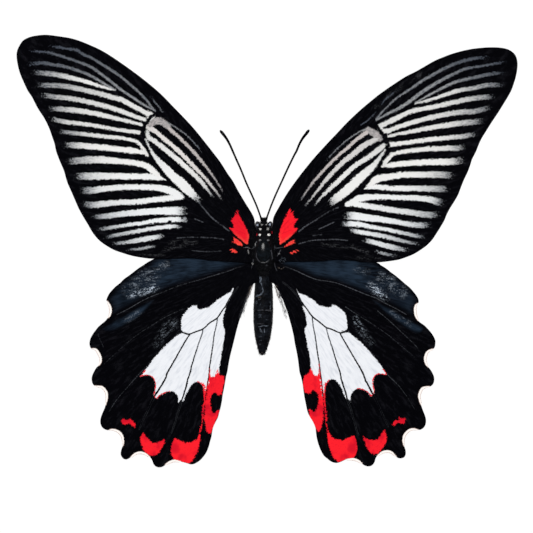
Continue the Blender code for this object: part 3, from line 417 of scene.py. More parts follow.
# White patches of the hindwings: the cell, and the four beyond it with the edges of the black spots
HIND_LEFT_WHITES = (
    ((-8.4, -10.1), (-9.1, -11.0), (-9.8, -11.4), (-10.7, -12.0), (-12.1, -12.9), (-13.4, -13.8),
     (-14.5, -14.8), (-15.2, -15.4), (-15.8, -15.7), (-16.7, -15.7), (-17.4, -16.0), (-17.9, -16.2),
     (-18.45, -15.9), (-18.6, -15.4), (-18.7, -15.0), (-19.2, -15.1), (-19.65, -14.9), (-20.4, -15.4),
     (-21.1, -15.9), (-21.9, -16.9), (-22.6, -17.8), (-22.9, -18.5), (-23.07, -19.6), (-23.0, -20.7),
     (-23.0, -21.8), (-22.5, -22.3), (-21.5, -22.7), (-20.6, -22.9), (-18.9, -22.3), (-16.9, -21.5),
     (-15.0, -19.8), (-12.9, -18.4), (-11.5, -16.3), (-10.6, -15.0), (-10.2, -14.2), (-9.4, -12.9)),
    ((-10.6, -15.4), (-10.9, -16.6), (-11.2, -17.9), (-11.4, -19.6), (-11.3, -20.9), (-10.8, -21.8),
     (-10.9, -23.1), (-11.1, -24.6), (-11.5, -26.8), (-11.8, -28.8), (-12.0, -30.1), (-12.2, -31.4),
     (-12.45, -32.7), (-12.56, -34.0), (-13.2, -35.2), (-14.4, -36.6), (-15.6, -37.6), (-16.3, -39.6),
     (-16.5, -41.4), (-16.6, -39.9), (-16.7, -38.85), (-16.9, -37.95), (-17.2, -37.2), (-17.8, -36.7),
     (-18.5, -36.3), (-19.0, -36.4), (-19.6, -36.7), (-20.3, -37.3), (-20.8, -38.1), (-21.35, -39.2),
     (-21.8, -40.1), (-22.15, -41.0), (-22.7, -41.9), (-23.2, -41.4), (-23.8, -42.3), (-23.9, -41.0),
     (-24.1, -40.2), (-24.7, -39.6), (-25.3, -39.0), (-26.1, -39.1), (-27.0, -39.2), (-27.9, -39.6),
     (-28.8, -40.0), (-29.5, -40.55), (-30.0, -41.1), (-30.7, -40.3), (-30.7, -39.85), (-30.4, -38.4),
     (-30.3, -37.2), (-30.5, -36.15), (-31.0, -35.2), (-31.7, -34.7), (-32.5, -34.5), (-33.6, -34.6),
     (-34.6, -34.9), (-34.2, -34.4), (-33.6, -33.6), (-32.95, -32.8), (-31.9, -31.5), (-30.9, -30.0),
     (-30.0, -29.0), (-28.9, -27.8), (-27.2, -26.0), (-25.2, -24.2), (-23.5, -22.9), (-22.6, -22.6),
     (-21.3, -23.0), (-20.6, -23.0), (-18.9, -22.3), (-16.9, -21.5), (-15.0, -19.8), (-12.9, -18.4),
     (-11.5, -16.3)),
)
HIND_RIGHT_WHITES = (
    ((9.26, -10.5), (9.6, -11.1), (10.0, -11.55), (10.9, -11.9), (11.9, -12.2), (12.86, -12.86),
     (13.95, -13.5), (14.8, -14.4), (15.6, -15.04), (16.45, -15.1), (17.2, -15.25), (17.9, -15.5),
     (18.96, -15.4), (19.3, -15.0), (19.1, -14.65), (20.05, -14.9), (21.1, -15.6), (22.1, -16.35),
     (22.9, -17.4), (23.3, -18.7), (23.4, -20.05), (23.5, -21.25), (23.1, -21.8), (22.2, -22.1),
     (21.4, -22.5), (20.3, -22.1), (18.96, -21.5), (17.8, -21.1), (16.6, -20.25), (15.3, -19.2),
     (13.95, -18.1), (13.1, -17.0), (12.0, -15.6), (11.1, -14.4), (10.5, -13.1), (10.0, -12.1)),
    ((10.9, -15.04), (11.3, -16.3), (11.8, -17.65), (12.0, -19.2), (12.0, -20.7), (11.55, -21.6),
     (11.66, -22.7), (12.0, -24.2), (12.3, -26.2), (12.75, -28.1), (13.1, -30.1), (13.2, -31.6),
     (13.2, -32.9), (13.6, -34.0), (14.4, -35.2), (15.2, -36.6), (15.9, -38.6), (16.5, -41.0),
     (17.1, -41.6), (17.1, -39.9), (17.2, -38.7), (17.4, -37.6), (17.8, -36.7), (18.3, -35.97),
     (19.1, -35.6), (20.0, -35.8), (20.8, -36.5), (21.5, -37.4), (22.1, -38.7), (22.6, -39.9),
     (23.1, -41.0), (24.1, -41.5), (24.4, -42.1), (24.3, -41.5), (24.4, -40.7), (24.7, -39.7),
     (25.1, -39.0), (25.9, -38.5), (26.7, -38.3), (27.6, -38.5), (28.4, -38.8), (29.2, -39.3),
     (29.7, -39.85), (30.2, -40.4), (31.05, -39.2), (30.85, -38.0), (30.7, -37.0), (30.7, -35.95),
     (31.05, -35.0), (31.56, -34.4), (32.3, -34.2), (33.3, -34.2), (34.3, -34.4), (34.3, -33.8),
     (33.7, -33.0), (32.7, -31.6), (31.4, -29.9), (30.2, -28.5), (29.1, -27.25), (27.7, -25.8),
     (26.4, -24.6), (24.85, -23.3), (23.98, -22.6), (22.7, -22.45), (21.5, -22.7), (20.3, -22.2),
     (18.96, -21.6), (17.65, -21.2), (16.6, -20.4), (15.26, -19.3), (13.8, -18.2), (12.86, -17.0),
     (12.0, -15.8)),
)

# Red areas of the hindwings: share of crimson, points; then the black spot cut out of the first
HIND_LEFT_REDS = (
    (0.15, ((-12.6, -34.0), (-12.2, -34.5), (-11.75, -34.7), (-11.2, -34.6), (-11.0, -35.4),
            (-11.1, -36.7), (-11.35, -37.95), (-11.56, -39.2), (-11.74, -40.1), (-11.6, -42.2),
            (-12.3, -44.3), (-12.8, -45.85), (-13.0, -46.5), (-13.7, -48.0), (-14.2, -49.6),
            (-15.0, -50.9), (-15.3, -50.8), (-15.9, -50.15), (-16.2, -49.3), (-16.4, -48.0),
            (-16.6, -46.9), (-16.5, -45.5), (-16.3, -42.1), (-16.0, -39.9), (-15.6, -38.2),
            (-15.5, -36.8), (-15.3, -34.6), (-14.7, -34.9), (-13.9, -35.0), (-13.3, -34.2), (-12.85, -32.6))),
    (0.0, ((-18.4, -51.95), (-18.9, -52.6), (-19.6, -52.9), (-20.0, -53.3), (-21.4, -53.35),
           (-22.06, -53.5), (-22.5, -53.06), (-23.6, -52.8), (-24.2, -52.4), (-24.75, -52.3),
           (-25.1, -52.3), (-25.5, -53.4), (-25.8, -54.5), (-25.96, -55.9), (-25.7, -57.0),
           (-25.2, -57.8), (-24.85, -58.3), (-23.2, -58.7), (-21.1, -59.3), (-20.4, -58.9),
           (-19.8, -58.2), (-19.3, -57.5), (-18.7, -56.4), (-18.3, -55.2), (-17.9, -53.7),
           (-17.75, -52.5), (-17.7, -51.2), (-17.5, -49.8), (-17.2, -48.4), (-17.0, -46.6),
           (-17.4, -48.4), (-17.75, -49.8), (-18.1, -51.05))),
    (0.1, ((-33.8, -50.6), (-33.3, -51.1), (-32.7, -51.95), (-31.9, -52.7), (-31.3, -53.4),
           (-29.9, -53.4), (-28.85, -52.97), (-27.66, -52.6), (-27.8, -53.6), (-28.3, -54.6),
           (-28.85, -55.6), (-29.5, -56.5), (-30.3, -56.9), (-31.1, -57.1), (-32.0, -56.9),
           (-32.95, -56.3), (-33.6, -55.5), (-33.9, -54.6), (-34.3, -53.6), (-34.5, -52.6),
           (-34.3, -51.5))),
    (0.2, ((-39.8, -47.4), (-39.5, -46.8), (-39.0, -46.65), (-38.6, -47.0), (-37.9, -46.9),
           (-37.05, -46.9), (-36.5, -47.5), (-36.0, -48.15), (-35.9, -48.7), (-36.2, -49.1),
           (-36.7, -48.6), (-37.4, -48.15), (-38.3, -48.15), (-39.2, -48.3), (-39.7, -47.8))),
)
HIND_RIGHT_REDS = (
    (0.1, ((12.5, -34.0), (12.0, -34.4), (11.5, -34.8), (11.2, -35.3), (11.05, -36.7),
           (11.2, -37.95), (11.5, -39.2), (11.7, -41.0), (12.1, -43.0), (12.76, -44.8),
           (12.9, -46.0), (13.9, -48.0), (14.5, -49.1), (14.9, -50.07), (15.2, -50.4),
           (15.7, -50.07), (16.26, -48.9), (16.6, -47.6), (16.8, -46.2), (16.8, -44.8),
           (16.8, -43.0), (16.6, -41.2), (16.35, -39.4), (16.1, -37.5), (15.9, -35.6),
           (15.6, -33.4), (15.2, -34.4), (14.5, -34.7), (13.9, -33.9), (13.2, -32.3), (13.0, -33.6))),
    (0.0, ((18.6, -50.9), (19.1, -51.8), (19.9, -52.4), (20.9, -52.5), (21.8, -52.6), (22.2, -52.9),
           (22.9, -52.4), (23.8, -51.95), (24.7, -51.7), (25.3, -51.4), (25.7, -52.1), (25.95, -53.0),
           (26.2, -54.3), (26.2, -55.5), (25.9, -56.6), (25.4, -57.3), (24.96, -57.8), (23.0, -58.2),
           (21.2, -58.9), (20.6, -58.4), (19.9, -57.9), (19.4, -57.2), (18.9, -56.1), (18.4, -54.6),
           (18.1, -53.2), (18.0, -51.95), (17.9, -50.7), (17.7, -49.0), (17.4, -46.9),
           (17.75, -48.4), (18.1, -49.8))),
    (0.1, ((33.9, -49.8), (33.3, -50.7), (32.7, -51.5), (32.1, -52.4), (31.5, -52.7), (30.4, -52.7),
           (29.4, -52.5), (28.6, -52.15), (27.97, -51.6), (28.2, -52.8), (28.6, -53.8), (29.2, -55.1),
           (30.0, -56.15), (31.05, -56.7), (31.9, -56.5), (32.9, -55.6), (33.7, -54.5), (34.3, -53.4),
           (34.5, -52.3), (34.3, -50.9))),
    (0.2, ((36.1, -48.3), (36.3, -47.7), (36.7, -47.2), (37.2, -47.0), (37.5, -47.3), (37.9, -46.9),
           (38.0, -46.3), (38.4, -46.7), (38.7, -46.6), (39.4, -46.45), (39.7, -46.9), (39.6, -47.6),
           (39.15, -48.05), (38.2, -47.95), (37.4, -47.9), (36.9, -48.3), (36.5, -48.7))),
)
HIND_LEFT_SPOT = (
    (-10.9, -40.0), (-11.8, -40.0), (-12.9, -40.0), (-13.2, -39.5), (-13.5, -39.3), (-14.1, -39.5),
    (-14.5, -40.0), (-14.8, -41.0), (-14.9, -41.9), (-14.8, -42.8), (-14.6, -43.9), (-14.3, -44.8),
    (-13.8, -45.2), (-13.4, -44.95), (-13.1, -44.4), (-12.7, -44.2), (-11.6, -44.2), (-10.9, -42.0),
)
HIND_RIGHT_SPOT = (
    (11.0, -39.6), (11.86, -39.4), (12.7, -39.7), (13.2, -39.5), (13.6, -38.9), (14.2, -38.7),
    (14.8, -39.2), (15.3, -40.0), (15.45, -41.2), (15.4, -42.3), (15.0, -43.7), (14.55, -44.5),
    (13.9, -44.8), (13.4, -44.4), (13.0, -43.96), (12.4, -44.1), (11.4, -43.9), (10.9, -41.8),
)

# Looks of the veins: those that cross the white and how grey they are beyond it, those of them
# that turn grey on the white itself (share, stretch of Y), and how grey the others are, which
# fade in over a stretch of X
VEINS_ON_WHITE = ("a", "b", "c", "d")
GREY_VEINS = {"c": (0.7, -32.0, -22.0), "d": (0.55, -30.0, -20.0)}
MAIN_FAINT_VEIN = "e"
MAIN_FAINT_TONE = 0.52
FAINT_TONE = 0.4
FAINT_VEINS_X = (4.5, 10.0)
WHITE_VEIN_TONE = 0.55

# Thin red lines beside the veins: share of crimson, widths, points
HIND_LEFT_RED_LINES = (
    (0.3, (0.1, 0.25, 0.3), ((-15.0, -32.6), (-15.2, -35.5), (-15.6, -38.2))),
    (0.2, (0.3, 0.4, 0.4, 0.35, 0.4), ((-17.3, -36.6), (-16.8, -37.1), (-16.5, -37.95), (-16.5, -40.0),
                                       (-16.5, -42.1), (-16.8, -43.0), (-16.95, -44.8), (-17.0, -46.6))),
)
HIND_RIGHT_RED_LINES = (
    (0.3, (0.1, 0.25, 0.3), ((15.65, -31.2), (15.8, -35.0), (16.3, -38.4))),
    (0.2, (0.3, 0.4, 0.4, 0.35, 0.45), ((17.5, -36.7), (17.15, -37.6), (17.0, -39.4), (17.03, -41.2),
                                        (17.15, -43.0), (17.4, -44.8), (17.7, -47.0))),
)
# Stretches where the white meets the black spots in a thin red edge, and its look
RED_EDGE_CRIMSON = 0.3
RED_EDGE_SHARPNESS = 3.0
HIND_LEFT_RED_EDGES = (
    ((-35.6, -35.9), (-34.5, -34.8), (-33.4, -34.1), (-32.2, -34.1), (-31.2, -34.5), (-30.4, -35.6),
     (-29.95, -37.2), (-30.2, -39.2)),
    ((-30.0, -41.4), (-29.2, -40.2), (-28.0, -39.5), (-27.2, -39.0)),
    ((-17.6, -36.4), (-17.0, -36.9), (-16.5, -37.95), (-16.5, -40.0)),
)
HIND_RIGHT_RED_EDGES = (
    ((35.4, -35.1), (34.3, -33.9), (33.0, -33.75), (31.7, -33.8), (30.8, -34.4), (30.3, -35.6),
     (30.3, -37.2), (30.7, -39.0)),
    ((30.2, -41.2), (29.4, -39.8), (28.2, -39.0), (27.0, -38.5)),
    ((17.7, -36.3), (17.2, -37.4), (17.0, -39.4)),
)

# Painted navy sheen of the hindwings, each area with its softness, how much it fades outwards and its points;
# then the painted glints, sparkling strokes with their strength, softness, widths and points
SHEEN_FADE_X = (26.0, 34.0)
HIND_LEFT_SHEEN = (
    (2.4, 0.5, ((-4.5, -3.2), (-10.0, -5.2), (-14.0, -6.5), (-18.0, -7.7), (-22.0, -8.8), (-25.0, -9.8),
     (-28.0, -11.0), (-31.0, -12.1), (-34.0, -13.4), (-37.5, -15.3), (-42.2, -17.6), (-42.8, -15.5),
     (-43.6, -13.0), (-41.0, -9.4), (-37.0, -6.0), (-33.0, -3.2), (-30.0, -1.3), (-20.0, 0.5), (-7.0, 0.5))),
    (1.5, -0.3, ((-30.4, -13.0), (-34.0, -14.7), (-38.0, -17.0), (-43.6, -20.0), (-45.6, -21.6),
     (-43.0, -22.4), (-38.5, -20.6), (-35.0, -18.4), (-32.0, -15.6))),
)
HIND_RIGHT_SHEEN = (
    (2.4, 0.5, ((5.0, -3.4), (9.0, -4.9), (12.0, -6.2), (14.5, -7.3), (18.0, -8.0), (20.5, -8.5),
     (23.0, -9.4), (26.0, -10.6), (29.0, -11.8), (31.5, -12.7), (34.0, -14.1), (37.0, -15.6), (41.9, -18.3),
     (42.3, -16.5), (43.4, -13.5), (41.0, -9.6), (37.0, -6.2), (33.5, -3.6), (31.0, -2.0), (20.0, 0.0),
     (8.0, 0.0))),
    (1.5, -0.3, ((30.0, -13.0), (34.0, -14.8), (37.5, -16.8), (42.9, -19.8), (45.0, -21.4), (43.4, -22.9),
     (40.0, -21.6), (36.5, -19.0), (33.0, -16.2))),
)
HIND_LEFT_GLINTS = (
    (1.0, 1.0, (1.0, 1.2, 0.5), ((-30.2, -9.9), (-32.0, -10.5), (-34.0, -11.3), (-37.5, -12.4))),
    (0.22, 1.6, (1.4, 2.4, 1.6), ((-30.5, -7.0), (-34.0, -8.0), (-38.0, -10.4))),
    (0.3, 0.8, (1.4,), ((-27.4, -3.6), (-29.2, -4.4))),
    (0.25, 1.0, (1.2,), ((-31.6, -5.4), (-34.5, -6.4))),
    (0.2, 0.8, (0.8,), ((-35.0, -17.0), (-38.5, -19.2))),
    (0.18, 1.2, (2.0, 2.0, 0.8), ((-25.4, -20.0), (-27.2, -21.6), (-30.0, -26.0))),
)
HIND_RIGHT_GLINTS = (
    (1.0, 1.0, (1.0, 1.6, 0.6), ((29.9, -9.4), (31.6, -10.7), (34.4, -13.0))),
    (0.22, 1.6, (1.0, 2.4, 1.6), ((32.5, -7.6), (35.0, -8.6), (39.0, -11.4))),
    (0.15, 1.0, (1.0,), ((26.0, -4.9), (29.0, -5.6))),
    (0.35, 1.0, (1.2,), ((33.0, -6.6), (36.5, -7.9))),
    (0.2, 0.8, (0.8,), ((36.0, -17.0), (41.0, -20.2))),
    (0.4, 0.6, (0.8, 1.4, 0.8), ((25.6, -18.4), (26.6, -20.4), (27.6, -21.8))),
    (0.14, 1.0, (2.0, 0.8), ((27.4, -22.0), (30.4, -25.6))),
)
# Faint grey dust on the black of the forewings
FORE_LEFT_DUST = (
    (0.5, 0.8, (0.6,), ((-27.5, 0.6), (-24.0, 1.6), (-19.0, 2.7))),
    (0.4, 0.6, (0.4,), ((-26.5, 2.6), (-21.0, 3.1))),
    (0.3, 0.6, (0.4,), ((-35.0, -0.9), (-28.0, -0.9))),
)
FORE_RIGHT_DUST = (
    (0.4, 0.6, (0.5,), ((16.5, 2.2), (23.5, 1.3))),
    (0.5, 0.8, (0.5,), ((24.5, 1.6), (29.0, -0.2))),
    (0.3, 0.6, (0.4,), ((26.0, -1.5), (33.0, -2.0))),
    (0.3, 0.8, (0.6,), ((31.0, 40.0), (38.0, 46.0), (45.0, 50.2))),
)
# Pale fringe in the notches of the hindwing edge: how far it stands out, its thickness and places
FRINGE_REACH = 0.55
FRINGE_THICKNESS = 0.1
PAINTED_FRINGE_WIDTH = 0.42
HIND_LEFT_FRINGES = (
    ((-43.7, -13.8), (-42.9, -15.1), (-42.65, -16.5), (-43.0, -17.8), (-43.6, -18.4)),
    ((-48.1, -27.1), (-47.15, -27.1), (-46.4, -27.7), (-45.5, -29.5), (-45.6, -31.0), (-46.2, -31.8)),
    ((-47.2, -37.5), (-46.1, -37.6), (-45.0, -37.8), (-43.9, -39.2), (-43.75, -40.9), (-44.2, -42.7)),
    ((-43.2, -49.9), (-42.2, -49.65), (-40.6, -50.15), (-39.5, -51.4), (-39.2, -53.0), (-39.4, -54.3)),
    ((-37.2, -57.5), (-35.9, -56.4), (-34.6, -56.05), (-33.2, -56.4), (-31.9, -57.4)),
    ((-27.6, -59.7), (-26.4, -58.8), (-25.0, -58.35), (-23.2, -58.7)),
)
HIND_RIGHT_FRINGES = (
    ((43.1, -14.45), (42.5, -15.0), (42.3, -16.4), (42.6, -18.0), (43.3, -19.1)),
    ((47.5, -27.2), (46.6, -27.4), (45.6, -28.2), (45.1, -30.0), (45.6, -31.6), (46.2, -32.2)),
    ((46.4, -37.7), (45.2, -37.8), (44.2, -38.3), (43.5, -40.0), (43.7, -41.5), (44.2, -42.9)),
    ((43.3, -49.8), (41.9, -49.5), (40.6, -49.9), (39.4, -51.2), (39.05, -52.8), (39.4, -54.3)),
    ((37.1, -57.3), (36.0, -56.1), (34.6, -55.7), (33.2, -56.05), (31.9, -57.1)),
    ((27.6, -59.2), (26.4, -58.3), (25.0, -57.9), (23.2, -58.15)),
)

# Everything that differs between the wings. Of the stripes, outer ones run out to the wing's edge,
# and the root ends are loose from the one numbered loose.
FOREWINGS = {
    "left": {
        "outline": FORE_LEFT, "stripes": FORE_LEFT_STRIPES, "outer": 21, "loose": 14,
        "dust": FORE_LEFT_DUST, "lines": FORE_LEFT_LINES, "reds": FORE_LEFT_REDS,
        "veins": FORE_LEFT_VEINS, "pairs": FORE_LEFT_PAIRS,
    },
    "right": {
        "outline": FORE_RIGHT, "stripes": FORE_RIGHT_STRIPES, "outer": 22, "loose": 16,
        "dust": FORE_RIGHT_DUST, "lines": FORE_RIGHT_LINES, "reds": FORE_RIGHT_REDS,
        "veins": FORE_RIGHT_VEINS, "pairs": FORE_RIGHT_PAIRS,
    },
}
HINDWINGS = {
    "left": {
        "outline": HIND_LEFT, "whites": HIND_LEFT_WHITES, "reds": HIND_LEFT_REDS,
        "red_lines": HIND_LEFT_RED_LINES, "red_edges": HIND_LEFT_RED_EDGES, "spot": HIND_LEFT_SPOT,
        "veins": HIND_LEFT_VEINS, "sheen": HIND_LEFT_SHEEN, "glints": HIND_LEFT_GLINTS,
        "fringes": HIND_LEFT_FRINGES,
    },
    "right": {
        "outline": HIND_RIGHT, "whites": HIND_RIGHT_WHITES, "reds": HIND_RIGHT_REDS,
        "red_lines": HIND_RIGHT_RED_LINES, "red_edges": HIND_RIGHT_RED_EDGES, "spot": HIND_RIGHT_SPOT,
        "veins": HIND_RIGHT_VEINS, "sheen": HIND_RIGHT_SHEEN, "glints": HIND_RIGHT_GLINTS,
        "fringes": HIND_RIGHT_FRINGES,
    },
}


def smooth(points, closed=False, step=0.7):
    """Smooth rows through given rows, about a step apart; the first two columns are the place."""
    rows = np.array(points, float)
    count = len(rows)
    spans = count if closed else count - 1
    result = []
    for i in range(spans):
        if closed:
            a, b, c, d = (rows[(i + k) % count] for k in (-1, 0, 1, 2))
        else:
            a, b, c, d = (rows[min(max(i + k, 0), count - 1)] for k in (-1, 0, 1, 2))
        parts = max(1, int(math.ceil(np.hypot(*(c - b)[:2]) / step)))
        for t in np.arange(parts) / parts:
            result.append(0.5 * (2 * b + (c - a) * t + (2 * a - 5 * b + 4 * c - d) * t ** 2
                                 + (3 * b - a - 3 * c + d) * t ** 3))
    if not closed:
        result.append(rows[-1])
    return np.array(result)


def spread(values, count):
    """Read count values at an even step from a short row of values."""
    return np.interp(np.linspace(0, 1, count), np.linspace(0, 1, len(values)), values)


def stroke(points, widths=(1.0,), tones=(1.0,)):
    """Rows of x, y, width and tone for one smooth stroke."""
    count = len(points)
    place = np.array(points, float)
    rows = np.column_stack([place, spread(widths, count), spread(tones, count)])
    return smooth(rows)


def stroke_field(where, rows, reach=REACH):
    """Signed distance inside a stroke, with the tone, length along and side at the nearest place."""
    field = np.full(len(where), -reach)
    tone = np.zeros(len(where))
    along = np.zeros(len(where))
    across = np.zeros(len(where))
    margin = reach + rows[:, 2].max() / 2
    low = rows[:, :2].min(0) - margin
    high = rows[:, :2].max(0) + margin
    near = np.nonzero(((where > low) & (where < high)).all(1))[0]
    spots = where[near]
    length = 0.0
    for a, b in zip(rows, rows[1:]):
        span = b[:2] - a[:2]
        size = math.hypot(*span)
        if size < 1e-9:
            continue
        offset = spots - a[:2]
        t = np.clip(offset @ span / size ** 2, 0, 1)
        gap = np.hypot(offset[:, 0] - t * span[0], offset[:, 1] - t * span[1])
        value = (a[2] + t * (b[2] - a[2])) / 2 - gap
        better = value > field[near]
        chosen = near[better]
        field[chosen] = value[better]
        tone[chosen] = (a[3] + t * (b[3] - a[3]))[better]
        along[chosen] = length + t[better] * size
        side = (offset[:, 0] * span[1] - offset[:, 1] * span[0]) / size
        across[chosen] = side[better]
        length += size
    return field, tone, along, across


def inside(where, loop):
    """Tell which points lie inside a closed loop."""
    result = np.zeros(len(where), bool)
    for (ax, ay), (bx, by) in zip(loop, np.roll(loop, -1, 0)):
        if ay == by:
            continue
        crossing = (ay > where[:, 1]) != (by > where[:, 1])
        x = (bx - ax) * (where[:, 1] - ay) / (by - ay) + ax
        result ^= crossing & (where[:, 0] < x)
    return result


def area_field(where, points, reach=REACH):
    """Signed distance to the edge of an area, positive inside."""
    loop = smooth(points, closed=True, step=0.5)
    field = np.full(len(where), -reach)
    low = loop.min(0) - reach
    high = loop.max(0) + reach
    near = np.nonzero(((where > low) & (where < high)).all(1))[0]
    spots = where[near]
    gap = np.full(len(near), 99.0)
    for a, b in zip(loop, np.roll(loop, -1, 0)):
        span = b - a
        offset = spots - a
        t = np.clip(offset @ span / max(span @ span, 1e-12), 0, 1)
        gap = np.minimum(gap, np.hypot(offset[:, 0] - t * span[0], offset[:, 1] - t * span[1]))
    held = inside(spots, loop)
    field[near] = np.where(held, gap, np.maximum(-gap, -reach))
    return field


def ramp(value, low, high):
    """Smooth rise from 0 at low to 1 at high."""
    t = np.clip((value - low) / (high - low), 0, 1)
    return t * t * (3 - 2 * t)


def new_object(name, mesh, material):
    """Put a mesh in the scene with its material."""
    obj = bpy.data.objects.new(name, mesh)
    bpy.context.scene.collection.objects.link(obj)
    mesh.materials.append(material)
    return obj


def settle(obj, slot, *replaced):
    """Let a piece ride on the specimen and stand for its solids; the slot is not used."""
    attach(obj, "root")
    if replaced:
        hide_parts(*replaced)


def set_attribute(mesh, name, values):
    """Store one number per vertex."""
    attribute = mesh.attributes.new(name, "FLOAT", "POINT")
    attribute.data.foreach_set("value", np.asarray(values, np.float32))


class Shader:
    """Short way to build a node material."""

    def __init__(self, name, roughness, specular):
        self.material = bpy.data.materials.new(name)
        self.material.use_nodes = True
        self.tree = self.material.node_tree
        self.surface = self.tree.nodes["Principled BSDF"]
        self.surface.inputs["Roughness"].default_value = roughness
        self.surface.inputs["Specular IOR Level"].default_value = specular
        self.place = self.tree.nodes.new("ShaderNodeTexCoord").outputs["Object"]

    def feed(self, socket, value):
        if isinstance(value, bpy.types.NodeSocket):
            self.tree.links.new(value, socket)
        elif socket.type == "RGBA":
            socket.default_value = (*value, 1.0)
        else:
            socket.default_value = value

    def math(self, operation, *values):
        node = self.tree.nodes.new("ShaderNodeMath")
        node.operation = operation
        for socket, value in zip(node.inputs, values):
            self.feed(socket, value)
        return node.outputs[0]

    def plus(self, first, second):
        return self.math("ADD", first, second)

    def times(self, first, second):
        return self.math("MULTIPLY", first, second)

    def weighted(self, *parts, base=0.0):
        """Sum of a base and of values, each given with its weight."""
        result = base
        for value, weight in parts:
            result = self.plus(result, self.times(value, weight))
        return result

    def rise(self, value, low, high):
        """Smooth rise from 0 at low to 1 at high."""
        node = self.tree.nodes.new("ShaderNodeMapRange")
        node.interpolation_type = "SMOOTHSTEP"
        self.feed(node.inputs["Value"], value)
        self.feed(node.inputs["From Min"], low)
        self.feed(node.inputs["From Max"], high)
        return node.outputs["Result"]

    def mix(self, factor, first, second):
        """Colour between two; the colour sockets of the node are its last ones of each name."""
        node = self.tree.nodes.new("ShaderNodeMix")
        node.data_type = "RGBA"
        self.feed(node.inputs["Factor"], factor)
        self.feed(node.inputs[6], first)
        self.feed(node.inputs[7], second)
        return node.outputs[2]

    def read(self, name):
        """Number stored on the vertices under this name."""
        node = self.tree.nodes.new("ShaderNodeAttribute")
        node.attribute_name = name
        return node.outputs["Fac"]

    def noise(self, size_mm, detail=2.0, roughness=0.5, vector=None):
        """Noise about 0.5; the size of its grain is in millimetres."""
        node = self.tree.nodes.new("ShaderNodeTexNoise")
        node.inputs["Scale"].default_value = 1.0 / (size_mm * MM) if vector is None else 1.0 / size_mm
        node.inputs["Detail"].default_value = detail
        node.inputs["Roughness"].default_value = roughness
        self.feed(node.inputs["Vector"], self.place if vector is None else vector)
        return node.outputs["Fac"]

    def drawn_out(self, first, first_scale, second, second_scale, detail=2.0, roughness=0.6):
        """Noise over two stored distances, longer in grain where the scale is small."""
        node = self.tree.nodes.new("ShaderNodeCombineXYZ")
        self.feed(node.inputs["X"], self.times(self.read(first), first_scale))
        self.feed(node.inputs["Y"], self.times(self.read(second), second_scale))
        return self.noise(1.0, detail, roughness, node.outputs[0])

    def cells(self, size_mm):
        """Random value per small cell."""
        node = self.tree.nodes.new("ShaderNodeTexVoronoi")
        node.inputs["Scale"].default_value = 1.0 / (size_mm * MM)
        self.feed(node.inputs["Vector"], self.place)
        split = self.tree.nodes.new("ShaderNodeSeparateColor")
        self.tree.links.new(node.outputs["Color"], split.inputs[0])
        return split.outputs[0]

    def bump(self, height, distance_mm, strength):
        node = self.tree.nodes.new("ShaderNodeBump")
        node.inputs["Distance"].default_value = distance_mm * MM
        node.inputs["Strength"].default_value = strength
        self.feed(node.inputs["Height"], height)
        self.tree.links.new(node.outputs["Normal"], self.surface.inputs["Normal"])

    def colour(self, value):
        self.feed(self.surface.inputs["Base Color"], value)


# Colours of the wings
WING_BLACK = (0.0008, 0.0008, 0.0016)
WING_SOOT = (0.0055, 0.0055, 0.0075)
PALE_DARK = (0.045, 0.054, 0.072)
PALE_WARM = (0.79, 0.782, 0.762)
PALE_COOL = (0.79, 0.81, 0.82)
PALE_ROSE = (0.71, 0.64, 0.61)
WHITE_PATCH = (0.77, 0.785, 0.82)
WHITE_SHADE = (0.56, 0.585, 0.64)
SCARLET = (0.90, 0.014, 0.024)
CRIMSON = (0.52, 0.004, 0.018)
EMBER = (0.93, 0.10, 0.06)
# Painted sheen and painted glints of the hindwings
SHEEN_NAVY = (0.0145, 0.026, 0.044)
GLINT = (0.46, 0.53, 0.62)
DUST_GREY = (0.085, 0.088, 0.095)
VEIN_GREY = (0.11, 0.118, 0.135)
PAINTED_FRINGE = (0.62, 0.47, 0.42)
FRINGE_CREAM = (0.90, 0.86, 0.82)
FRINGE_BROWN = (0.48, 0.30, 0.25)
# Sizes of the wings' grain in millimetres
GRAIN_SIZE = 0.42
FINE_SIZE = 0.16
SCALE_SIZE = 0.26


